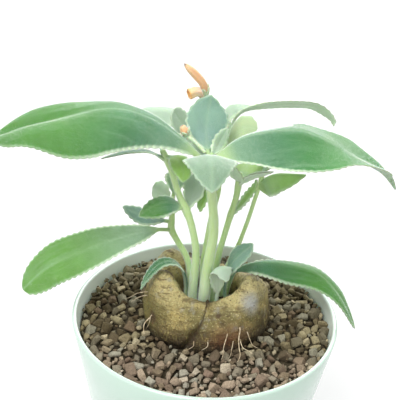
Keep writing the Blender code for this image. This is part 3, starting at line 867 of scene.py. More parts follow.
def spun(profile: list[tuple[float, float]], sides: int) -> bmesh.types.BMesh:
    """Turns a profile about the Z axis.

    Args:
        profile: (radius, height) points, of which the first and the last lie on the axis.
        sides: How many sides the turned shape has.

    Returns:
        The turned shape.
    """
    shape = bmesh.new()
    points = [shape.verts.new((radius, 0.0, height)) for radius, height in profile]
    edges = [shape.edges.new(pair) for pair in zip(points, points[1:])]
    bmesh.ops.spin(shape, geom=points + edges, axis=(0, 0, 1), cent=(0, 0, 0),
                   steps=sides, angle=2 * math.pi, use_merge=True)
    bmesh.ops.remove_doubles(shape, verts=shape.verts, dist=0.001)
    return shape


def wall_radius(height: float) -> float:
    """Returns the pot's outer radius at a height."""
    return BASE_RADIUS + (RIM_RADIUS - BASE_RADIUS) * height / POT_HEIGHT


@dataclass
class Pot:
    """The tapered pot with its rounded lip and four drain holes."""

    sides: int = 192
    lip: float = 0.9
    lip_steps: int = 8
    corner: float = 1.5
    levels: tuple = (30.0, 60.0, 90.0)
    below_lip: float = 2.0  # where the inner wall ends
    heel: float = 1.5
    edge: tuple = ((0.3, 0.4), (1.2, 0.0))  # (in from the base's radius, height)
    sharp: float = 35.0
    drain_radius: float = 4.0
    drain_circle: float = 24.0
    drain_holes: int = 4
    first_drain: float = 48.6  # azimuth of one hole, in degrees

    def profile(self) -> list[tuple[float, float]]:
        """Draws the wall's outline, from the inner floor over the lip to the base.

        Returns:
            (radius, height) points.
        """
        inner = wall_radius(FLOOR) - WALL
        top, outer = POT_HEIGHT, RIM_RADIUS
        points = [(0, FLOOR), (inner * 0.5, FLOOR), (inner - self.corner, FLOOR),
                  (inner, FLOOR + self.corner)]
        points += [(wall_radius(h) - WALL, h) for h in (*self.levels, top - self.below_lip)]
        swing = 0.5 * WALL
        for step in range(self.lip_steps + 1):
            angle = math.pi * (1 - step / self.lip_steps)
            points.append((outer - swing + swing * math.cos(angle),
                           top - self.lip + self.lip * math.sin(angle)))
        points += [(wall_radius(h), h) for h in reversed(self.levels)]
        points += [(wall_radius(self.heel), self.heel)]
        points += [(BASE_RADIUS - into, height) for into, height in self.edge]
        points += [(BASE_RADIUS * 0.5, 0), (0, 0)]
        return points

    def drill(self, pot: bpy.types.Object) -> None:
        """Cuts the drain holes through the pot's floor.

        Args:
            pot: The pot's piece.
        """
        shape = bmesh.new()
        for number in range(self.drain_holes):
            angle = math.radians(self.first_drain + 360 * number / self.drain_holes)
            place = Matrix.Translation((self.drain_circle * math.cos(angle),
                                        self.drain_circle * math.sin(angle), 0.0))
            bmesh.ops.create_cone(shape, cap_ends=True, segments=40, radius1=self.drain_radius,
                                  radius2=self.drain_radius, depth=4 * FLOOR, matrix=place)
        drills = placed("drills", drawn("drills", shape))
        cut = pot.modifiers.new("drains", "BOOLEAN")
        cut.operation = "DIFFERENCE"
        cut.object = drills
        settle(pot)
        bpy.data.objects.remove(drills)

    def build(self) -> bpy.types.Object:
        """Makes the pot.

        Returns:
            The pot's piece.
        """
        shape = spun(self.profile(), self.sides)
        pot = piece_of("pot_shell", shape, Slot.POT, PotFinish().material())
        self.drill(pot)
        pot.data.shade_smooth()
        pot.data.set_sharp_from_angle(angle=math.radians(self.sharp))
        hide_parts("pot")
        return pot


@dataclass
class Tuber:
    """The lobed tuber: turned, bent into lobes, then knobbed, creased and pitted.

    lobes, reaches and swells hold (size, azimuth, spread) bells: how far the rim stands up and
    leans out there, and how far the flank swells.
    """

    centre: Vector = field(default_factory=lambda: Vector((0.0, 2.0, 0.0)))
    depth_share: float = 0.87
    rim: float = 124.0
    crease_azimuth: float = 258.0
    crease_lean: float = 1.0
    crease_depth: float = 2.6
    lobes: tuple = ((8.5, 203, 24), (9.0, 144, 22), (5.5, 356, 26), (3.0, 325, 18),
                    (-2.0, 50, 26), (-2.5, 270, 30))
    reaches: tuple = ((1.0, 203, 30), (2.0, 142, 26), (-4.5, 270, 30))
    swells: tuple = ((1.2, 225, 18), (1.0, 310, 22))
    girth: float = 30.4
    pitch: float = 0.75
    sides: int = 224
    lump: float = 1.1
    dimple: float = 0.5
    knob: float = 0.8
    pits: int = 70
    pit_depth: float = 0.55
    seed: int = 31
    profile: tuple = (
        (0, 113.0), (5.5, 113.0), (12.4, 113.0), (14.8, 117.5), (17.5, 122.0), (21.5, 124.0),
        (26, 121.5), (29.5, 116), (31.2, 109), (30.5, 102), (27, 96), (19, 91.5), (0, 90),
    )

    def crease(self, azimuth: float, height: float, spread: float) -> float:
        """Returns how near an azimuth lies to the leaning crease at a height."""
        return near_angle(azimuth, self.crease_azimuth + self.crease_lean * (height - 107), spread)

    @staticmethod
    def bells(azimuth: float, sizes: tuple, start: float = 0.0) -> float:
        """Returns the sum of (size, azimuth, spread) bells at an azimuth, on top of a start."""
        return sum((size * near_angle(azimuth, *where) for size, *where in sizes), start)

    def bulge(self, azimuth: float) -> float:
        """Returns how far the flank swells out at an azimuth."""
        return self.bells(azimuth, self.swells, 0.8 * math.sin(math.radians(3 * azimuth + 40)))

    def point(self, radius: float, height: float, azimuth: float) -> Vector:
        """Bends one point of the turned tuber into its lobes.

        Args:
            radius: The point's radius before it is bent.
            height: The point's height before it is bent.
            azimuth: Where it is round the tuber, in degrees.

        Returns:
            The point on the tuber's skin.
        """
        high = smoothstep(CROWN_TOP, self.rim, height)
        flank = smoothstep(14, 26, radius) * (1 - high)
        radius += high * self.bells(azimuth, self.reaches) + flank * self.bulge(azimuth)
        crease = self.crease(azimuth, height, 2.8)
        radius -= self.crease_depth * crease * smoothstep(9, 16, radius)
        height += high * self.bells(azimuth, self.lobes)
        angle = math.radians(azimuth)
        return self.centre + Vector((radius * math.cos(angle),
                                     radius * math.sin(angle) * self.depth_share, height))

    def inside(self, x: float, y: float, margin: float) -> bool:
        """Tells whether a place on the grit lies under the tuber.

        Args:
            x: The place's first coordinate.
            y: Its second one.
            margin: How far from the tuber it still counts as under it.

        Returns:
            Whether it does.
        """
        off = Vector((x, (y - self.centre.y) / self.depth_share))
        azimuth = math.degrees(math.atan2(off.y, off.x))
        return off.length < self.girth + self.bulge(azimuth) + margin

    def fine_profile(self) -> list[tuple[float, float]]:
        """Smooths the profile.

        Returns:
            (radius, height) points, closer together than those of the profile.
        """
        knots = tuple((radius, height, 0.0, 0.0) for radius, height in self.profile)
        curve = [(max(place.x, 0.0), place.y) for place, _ in even_path(knots, self.pitch)]
        return [(0.0, curve[0][1]), *curve[1:-1], (0.0, curve[-1][1])]

    def roughen(self, shape: bmesh.types.BMesh) -> None:
        """Raises knobs and lumps and sinks pits, and keeps how deep each point lies in the pits,
        the crease and the sunken crown, as the strength of its painted shade.

        Args:
            shape: The tuber's bmesh, bent into its lobes.
        """
        draw = random.Random(self.seed)
        painted_shade = shape.verts.layers.float.new("painted_shade")
        pits = []
        for _ in range(self.pits):
            azimuth = draw.uniform(0, 360)
            radius, height = draw.choice(self.profile[3:10])
            place = self.point(radius, height + draw.uniform(-3, 3), azimuth)
            pits.append((place, draw.uniform(0.5, 1.3)))
        marks = np.array([place for place, _ in pits])
        sizes = np.array([size for _, size in pits])
        shape.normal_update()
        for vertex in shape.verts:
            place = vertex.co.copy()
            skin = smoothstep(9.0, 15.0, (place - self.centre).xy.length)
            lumps = self.lump * noise.noise(place / 9.0) + self.dimple * noise.noise(place / 3.5)
            knobs = self.knob * max(noise.noise(place / 2.1 + Vector((9, 2, 5))) - 0.22, 0.0)
            away = np.linalg.norm(marks - np.array(place), axis=1) / sizes
            depth = float((np.exp(-away ** 2) * sizes).sum())
            rise = lumps + knobs - self.pit_depth * depth
            vertex.co = place + vertex.normal * skin * rise
            azimuth = math.degrees(math.atan2(place.y - self.centre.y, place.x)) % 360
            crease = self.crease(azimuth, place.z, 1.5) * smoothstep(101, 106, place.z)
            # Painted shade: how dark each point is painted, from the depth of its pit, the crease
            # and the sunken crown.
            sunken_shade = (1 - smoothstep(12.0, 17.0, (place - self.centre).xy.length)) * 0.75
            vertex[painted_shade] = min(0.6 * depth + 0.85 * crease + sunken_shade * (place.z > 100), 1.0)

    def build(self) -> bpy.types.Object:
        """Makes the tuber.

        Returns:
            The tuber's piece.
        """
        shape = spun(self.fine_profile(), self.sides)
        for vertex in shape.verts:
            azimuth = math.degrees(math.atan2(vertex.co.y, vertex.co.x)) % 360
            vertex.co = self.point(vertex.co.xy.length, vertex.co.z, azimuth)
        bmesh.ops.recalc_face_normals(shape, faces=shape.faces)
        self.roughen(shape)
        tuber = piece_of("tuber_body", shape, Slot.TUBER, TuberFinish().material())
        tuber.data.shade_smooth()
        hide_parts("tuber")
        return tuber


@dataclass(frozen=True)
class Root:
    """A rootlet: where it leaves the tuber, and the points (x, y, z) that it wanders through."""

    azimuth: float
    height: float
    wander: tuple
    radius: float


ROOTS = (
    Root(291, 112.0, ((9.8, -27.6, 108), (9.6, -29.6, 104.5), (9.0, -32.5, 104.2)), 0.22),
    Root(303, 113.5, ((16.6, -23.4, 109.5), (17.0, -25.8, 106.5), (17.6, -29.4, 105.0),
                      (16.6, -33.4, 104.2)), 0.32),
    Root(303, 108.5, ((18.6, -25.4, 106.6), (21.6, -27.0, 105.8), (23.4, -28.6, 105.4)), 0.22),
    Root(311, 110.5, ((21.6, -19.4, 108.0), (23.4, -21.4, 105.2), (26.2, -22.6, 104.4)), 0.20),
    Root(297, 107.8, ((13.6, -26.8, 106.0), (13.2, -29.2, 104.9), (12.4, -31.8, 104.4)), 0.18),
    Root(186, 116.0, ((-33.6, -1.2, 116.2), (-36.6, -1.8, 114.4), (-39.4, -1.4, 112.4)), 0.18),
    Root(188, 115.0, ((-33.4, -2.4, 114.4), (-36.2, -3.8, 112.8)), 0.20),
    Root(212, 110.0, ((-28.6, -13.6, 107.6), (-28.8, -15.4, 105.2), (-28.2, -17.6, 104.4)), 0.34),
    Root(215, 112.4, ((-26.2, -14.8, 109.2), (-27.4, -16.0, 106.6)), 0.18),
    Root(262, 107.0, ((-4.4, -25.6, 105.4), (-6.6, -27.4, 104.8), (-8.6, -28.6, 104.5)), 0.20),
    Root(274, 108.4, ((2.2, -26.4, 106.4), (-0.4, -28.0, 105.2)), 0.22),
    Root(20, 110.0, ((31.6, 11.2, 106.5), (34.8, 12.4, 104.6)), 0.32),
    Root(95, 110.0, ((-2.4, 31.4, 107.0), (-3.6, 34.0, 104.6)), 0.34),
    Root(130, 110.0, ((-22.6, 25.4, 106.4), (-25.4, 27.6, 104.6)), 0.28),
)


def tube(path: list[tuple[Vector, float]], sides: int, shape: bmesh.types.BMesh,
         ribs: int = 0, rib_depth: float = 0.0) -> None:
    """Adds a round, capped tube that follows a path to a shape, and keeps its places in the mesh.

    Args:
        path: (point, radius) pairs.
        sides: How many sides it has.
        shape: The bmesh that takes it.
        ribs: How many low ribs run along it.
        rib_depth: How deep the grooves between the ribs are, over the radius.
    """
    along = shape.verts.layers.float.get("along") or shape.verts.layers.float.new("along")
    blade = (shape.verts.layers.float_vector.get("blade")
             or shape.verts.layers.float_vector.new("blade"))
    ways = headings(path)
    side = ways[0].orthogonal().normalized()
    rings = len(path) - 1
    sheet = bmesh.ops.create_grid(shape, x_segments=rings, y_segments=sides, size=1.0)["verts"]
    frames = []
    for way in ways:
        side = (side - way * side.dot(way)).normalized()
        frames.append((side, way.cross(side)))
    runs = [0.0]
    for (here, _), (after, _) in zip(path, path[1:]):
        runs.append(runs[-1] + (after - here).length)
    for vertex in sheet:
        ring = round((vertex.co.x + 1) / 2 * rings)
        turn = math.pi * (vertex.co.y + 1)
        place, radius = path[ring]
        across, over = frames[ring]
        if ribs:
            radius *= 1 - rib_depth * (0.5 - 0.5 * math.cos(ribs * turn))
        vertex[along] = ring / rings
        vertex[blade] = Vector((turn * path[ring][1], runs[ring], 0.0))
        vertex.co = place + radius * (across * math.cos(turn) + over * math.sin(turn))
    bmesh.ops.remove_doubles(shape, verts=sheet, dist=1e-5)
    ends = [edge for edge in shape.edges if edge.is_boundary]
    bmesh.ops.holes_fill(shape, edges=ends, sides=0)


@dataclass
class Rootlets:
    """The dry rootlets that hang from the tuber's flank."""

    tuber: Tuber
    girth: float = 30.8
    sunk: float = 0.93
    taper: float = 0.6
    pitch: float = 0.7
    sides: int = 8

    def build(self) -> bpy.types.Object:
        """Makes all the rootlets.

        Returns:
            The piece that holds them.
        """
        shape = bmesh.new()
        for root in ROOTS:
            skin = self.tuber.point(self.girth, root.height, root.azimuth)
            inner = self.tuber.centre + (skin - self.tuber.centre) * self.sunk
            inner.z = skin.z
            knots = [(*inner, root.radius * 1.5), (*skin, root.radius * 1.2)]
            steps = len(root.wander)
            for number, place in enumerate(root.wander):
                knots.append((*place, root.radius * (1 - self.taper * (number + 1) / steps)))
            tube(even_path(tuple(knots), self.pitch), self.sides, shape)
        roots = piece_of("rootlets", shape, Slot.TUBER, RootFinish().material())
        roots.data.shade_smooth()
        return roots


def many(template: bmesh.types.BMesh, places: np.ndarray, turns: np.ndarray,
         tones: np.ndarray | None, name: str) -> bpy.types.Mesh:
    """Makes one mesh of many copies of a template.

    Args:
        template: The shape to copy, of triangles, in millimetres.
        places: Where each copy goes, (n, 3), in millimetres.
        turns: The matrix that turns and sizes each copy, (n, 3, 3).
        tones: A number for each copy, kept as tone in the mesh, or None.
        name: The mesh's name.

    Returns:
        The mesh, in metres.
    """
    corners = np.array([vertex.co for vertex in template.verts])
    template.verts.index_update()
    faces = np.array([[vertex.index for vertex in face.verts] for face in template.faces])
    points = np.einsum("nij,vj->nvi", turns, corners) + places[:, None, :]
    count = len(places)
    loops = (faces[None] + (np.arange(count) * len(corners))[:, None, None]).ravel()
    mesh = bpy.data.meshes.new(name)
    mesh.vertices.add(count * len(corners))
    mesh.vertices.foreach_set("co", (points * MM).astype(np.float32).ravel())
    mesh.loops.add(len(loops))
    mesh.loops.foreach_set("vertex_index", loops.astype(np.int32))
    mesh.polygons.add(count * len(faces))
    mesh.polygons.foreach_set("loop_start", np.arange(0, len(loops), 3, dtype=np.int32))
    if tones is not None:
        tone = mesh.attributes.new("tone", "FLOAT", "POINT")
        tone.data.foreach_set("value", np.repeat(tones, len(corners)).astype(np.float32))
    mesh.update(calc_edges=True)
    return mesh


@dataclass
class GritBed:
    """The grit: packed fines below and loose grains of true size on top."""

    tuber: Tuber
    cover: float = 2.6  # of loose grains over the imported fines
    fill_sides: int = 120
    shapes: int = 18
    skew: float = 0.36
    tilt: float = 0.7
    sharp: float = 32.0
    largest: float = 3.7
    smallest: float = 0.8
    shrinking: float = 0.45  # how slowly the grains get smaller; 1 is evenly
    sizes: tuple = (0.82, 1.12)
    rises: tuple = (-0.9, 0.5)
    tries: int = 26000
    closeness: float = 0.74
    seed: int = 5

    def fill(self) -> bpy.types.Object:
        """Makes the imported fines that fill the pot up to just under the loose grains.

        Returns:
            The fill's piece.
        """
        low, high = FLOOR + GAP, GRAVEL_TOP - self.cover
        inside = WALL + GAP
        reach = wall_radius(high) - inside
        profile = [(0, high), *[(reach * share, high) for share in (0.2, 0.4, 0.6, 0.8, 0.9, 1.0)],
                   (wall_radius(60.0) - inside, 60.0), (wall_radius(low) - inside - 1.5, low),
                   (0, low)]
        shape = spun(profile, self.fill_sides)
        crust = [vertex for vertex in shape.verts if abs(vertex.co.z - high) < 0.01]
        for vertex in crust:
            vertex.co.z += 0.5 * noise.noise(vertex.co / 6.0)
        bed = piece_of("packed_fill", shape, Slot.GRAVEL, FillFinish().material())
        bed.data.shade_smooth()
        return bed

    def stone(self, draw: random.Random) -> bmesh.types.BMesh:
        """Makes one crushed stone of about unit radius: a skewed block with worn edges.

        Args:
            draw: Where its random numbers come from.

        Returns:
            The stone's shape.
        """
        shape = bmesh.new()
        bmesh.ops.create_cube(shape, size=1.3)
        stretch = Vector((1.12, draw.uniform(0.66, 0.95), draw.uniform(0.50, 0.82)))
        for vertex in shape.verts:
            skew = Vector((draw.uniform(-1, 1), draw.uniform(-1, 1), draw.uniform(-1, 1)))
            vertex.co = (vertex.co + self.skew * skew) * stretch
        bmesh.ops.bevel(shape, geom=shape.edges[:], offset=draw.uniform(0.10, 0.24), segments=1,
                        profile=0.5, affect="EDGES", material=-1, clamp_overlap=True)
        for vertex in shape.verts:
            vertex.co *= draw.uniform(0.92, 1.06)
        bmesh.ops.triangulate(shape, faces=shape.faces)
        bmesh.ops.recalc_face_normals(shape, faces=shape.faces)
        return shape

    def scattered(self) -> np.ndarray:
        """Strews grains close together and clear of the tuber, the large ones first.

        Returns:
            (x, y, radius) of each grain.
        """
        draw = random.Random(self.seed)
        inner = wall_radius(GRAVEL_TOP) - WALL
        kept = np.zeros((0, 3))
        for number in range(self.tries):
            share = number / self.tries
            size = self.largest + (self.smallest - self.largest) * share ** self.shrinking
            size *= draw.uniform(*self.sizes)
            turn = draw.uniform(0, 2 * math.pi)
            reach = (inner - 0.75 * size) * math.sqrt(draw.random())
            x, y = reach * math.cos(turn), reach * math.sin(turn)
            if self.tuber.inside(x, y, 0.35 * size):
                continue
            gaps = np.hypot(kept[:, 0] - x, kept[:, 1] - y) - self.closeness * (kept[:, 2] + size)
            if len(kept) and gaps.min() < 0:
                continue
            kept = np.vstack([kept, (x, y, size)])
        return kept

    def loose(self) -> list[bpy.types.Object]:
        """Makes the loose grains.

        Returns:
            One piece for each shape of stone.
        """
        draw = random.Random(self.seed + 1)
        chance = np.random.default_rng(self.seed)
        grains = self.scattered()
        LOG.info("%d grains", len(grains))
        finish = StoneFinish().material()
        pieces = []
        for number in range(self.shapes):
            own = grains[number::self.shapes]
            count = len(own)
            turns = np.array([Matrix.Rotation(draw.uniform(0, 2 * math.pi), 3, "Z")
                              @ Matrix.Rotation(draw.gauss(0, self.tilt), 3, "X")
                              @ Matrix.Rotation(draw.gauss(0, self.tilt), 3, "Y")
                              for _ in range(count)])
            turns *= own[:, 2, None, None]
            rise = chance.uniform(*self.rises, count) - 0.25 * own[:, 2]
            places = np.column_stack([own[:, 0], own[:, 1], GRAVEL_TOP + rise])
            mesh = many(self.stone(draw), places, turns, chance.random(count), "grit")
            grit = publish(f"grit_{number + 1}", mesh, Slot.GRAVEL, finish)
            grit.data.shade_smooth()
            grit.data.set_sharp_from_angle(angle=math.radians(self.sharp))
            pieces.append(grit)
        return pieces

    def build(self) -> list[bpy.types.Object]:
        """Makes the fill and the grains.

        Returns:
            Their pieces.
        """
        bed = self.fill()
        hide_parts("gravel")
        return [bed, *self.loose()]


@dataclass(frozen=True)
class Stem:
    """A stem by its axis, as points (x, y, z, radius) from its foot on the tuber to its tip."""

    name: str
    points: tuple

    def at(self, height: float) -> tuple[Vector, float]:
        """Finds the stem at a height.

        Args:
            height: The height above the base, in millimetres.

        Returns:
            The point on its axis, and its radius there.
        """
        path = smooth_path(self.points, STEM_STEPS)
        for (low, thin), (high, thick) in zip(path, path[1:]):
            if low.z <= height <= high.z:
                share = (height - low.z) / (high.z - low.z)
                return low.lerp(high, share), thin + (thick - thin) * share
        return path[-1]


STEMS = (
    Stem("stem_main", ((-0.8, -4.5, STEM_BASE, 2.8), (-0.9, -4.7, 121, 2.7),
                       (-0.2, -4.8, 135, 2.5), (0.9, -5, 146, 2.3), (1.6, -5, 153.5, 2.2),
                       (1.4, -5.4, 161, 2.2), (0.6, -6, 168.5, 2.1), (-0.5, -6.6, 176, 2.1),
                       (-2, -7, 186, 2.1), (-2.8, -8, 195.5, 2.1))),
    Stem("stem_left", ((-6.7, -1.2, STEM_BASE, 2.3), (-6.5, -1.2, 123.5, 2.1),
                       (-6, -1.4, 135, 1.9), (-6.2, -1.5, 143.5, 1.8), (-7.5, -1.4, 151, 1.7),
                       (-9.4, -1, 158, 1.7), (-11.4, -0.2, 163, 1.7), (-14.2, 0.4, 168.5, 1.6),
                       (-16.4, 1, 173.5, 1.5), (-18.9, 2, 181, 1.4), (-22, 3, 188, 1.3),
                       (-24, 4, 191.5, 1.2))),
    Stem("stem_far_left", ((-8.3, 5, STEM_BASE, 1.8), (-8.5, 5.2, 124, 1.6),
                           (-9.5, 6, 130.5, 1.5), (-11.3, 7, 135.2, 1.5), (-13.8, 8, 139, 1.5),
                           (-16.6, 9, 143.3, 1.5), (-18.8, 10, 147.5, 1.5),
                           (-18.8, 12, 152.5, 1.3), (-18.8, 14, 157, 1.2),
                           (-19.3, 15, 162, 1.2))),
    Stem("stem_back", ((-1.5, 7, STEM_BASE, 1.9), (-2.2, 7, 131, 1.7), (-1.5, 8, 139, 1.6),
                       (-0.5, 9.5, 149, 1.5), (1.2, 12, 161, 1.5), (2.5, 15, 171, 1.5),
                       (3.2, 19, 184, 1.5), (3.4, 20.5, 190, 1.4))),
    Stem("stem_right", ((3.8, 2, STEM_BASE, 1.9), (3.5, 2.3, 122, 1.7), (3.8, 2.7, 131, 1.6),
                        (5.1, 3.7, 140.5, 1.5), (6.7, 5, 148, 1.4), (8.2, 5.5, 155.5, 1.4),
                        (9.4, 6, 161, 1.4), (10.8, 7, 167, 1.4), (11.5, 7.5, 173, 1.4),
                        (11.8, 8, 180.5, 1.3))),
    Stem("stem_far_right", ((7, 7.2, STEM_BASE, 1.5), (7.1, 7.5, 116, 1.5), (8, 9.3, 123, 1.3),
                            (10.6, 10.6, 131, 1.2), (14, 11, 140, 1.1), (15.7, 11.5, 146, 1.0),
                            (17.3, 12, 152, 1.0), (18.6, 12, 158, 1.0), (20, 12, 165, 1.0),
                            (21.4, 11.5, 172, 1.0), (22.3, 11, 178, 1.0))),
)


@dataclass
class StemSet:
    """All the leafy stems, each with low ribs, swollen at its nodes and its foot."""

    sides: int = 30
    pitch: float = 0.9
    ribs: int = 5
    rib_depth: float = 0.06
    node_swelling: float = 0.16
    node_length: float = 2.6
    foot_swelling: float = 0.12
    foot_length: float = 3.0
    wobble: float = 0.05
    sunk: float = 0.8  # how far below its foot it starts
    sunk_share: float = 0.96
    cap: float = 0.4  # how far above its tip it ends
    cap_radius: float = 0.5

    def thickened(self, stem: Stem) -> list[tuple[Vector, float]]:
        """Thickens a stem where leaves stand on it, and at its foot.

        Args:
            stem: The stem.

        Returns:
            Its (point, radius) pairs, closed by a small one at its tip.
        """
        nodes = {leaf.at for leaf in LEAVES if leaf.stem == stem.name}
        path = []
        for place, radius in even_path(stem.points, self.pitch):
            swell = sum(math.exp(-((place.z - node) / self.node_length) ** 2) for node in nodes)
            foot = math.exp(-(place.z - STEM_BASE) / self.foot_length)
            wobble = self.wobble * noise.noise(place / 5.0)
            radius *= (1 + self.node_swelling * min(swell, 1.0) + self.foot_swelling * foot
                       + wobble)
            path.append((place, radius))
        (foot_place, foot_radius), (tip_place, _) = path[0], path[-1]
        first = (foot_place - Vector((0, 0, self.sunk)), foot_radius * self.sunk_share)
        return [first, *path, (tip_place + Vector((0, 0, self.cap)), self.cap_radius)]

    def build(self) -> list[bpy.types.Object]:
        """Makes every stem.

        Returns:
            A piece for each.
        """
        finish = StemFinish().material()
        stems = []
        for stem in STEMS:
            shape = bmesh.new()
            tube(self.thickened(stem), self.sides, shape, self.ribs, self.rib_depth)
            item = piece_of(f"{stem.name}_skin", shape, Slot.STEM, finish)
            item.data.shade_smooth()
            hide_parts(stem.name)
            stems.append(item)
        return stems


@dataclass(frozen=True)
class Leaf:
    """A leaf by its midrib. Angles are in degrees.

    at is the height on the stem, or the foot's (x, y, z) where stem is None. midrib holds the
    points that the midrib passes through after its foot, the tip last. roll lifts the half of the
    blade on the left, seen from the foot, and fold lifts both halves. twist and unfold are what
    has been added to those two by the tip, past the middle of the leaf. curl bends the margins
    down. belly is where along the leaf the blade is widest, and point how drawn out its tip is.
    """

    name: str
    stem: str | None
    at: float | tuple
    midrib: tuple
    width: float
    roll: float = 0.0
    twist: float = 0.0
    fold: float = 8.0
    unfold: float = 0.0
    curl: float = 0.25
    stalk: float = 0.10
    belly: float = 0.50
    point: float = 0.9
    tone: Tone = Tone.FRESH


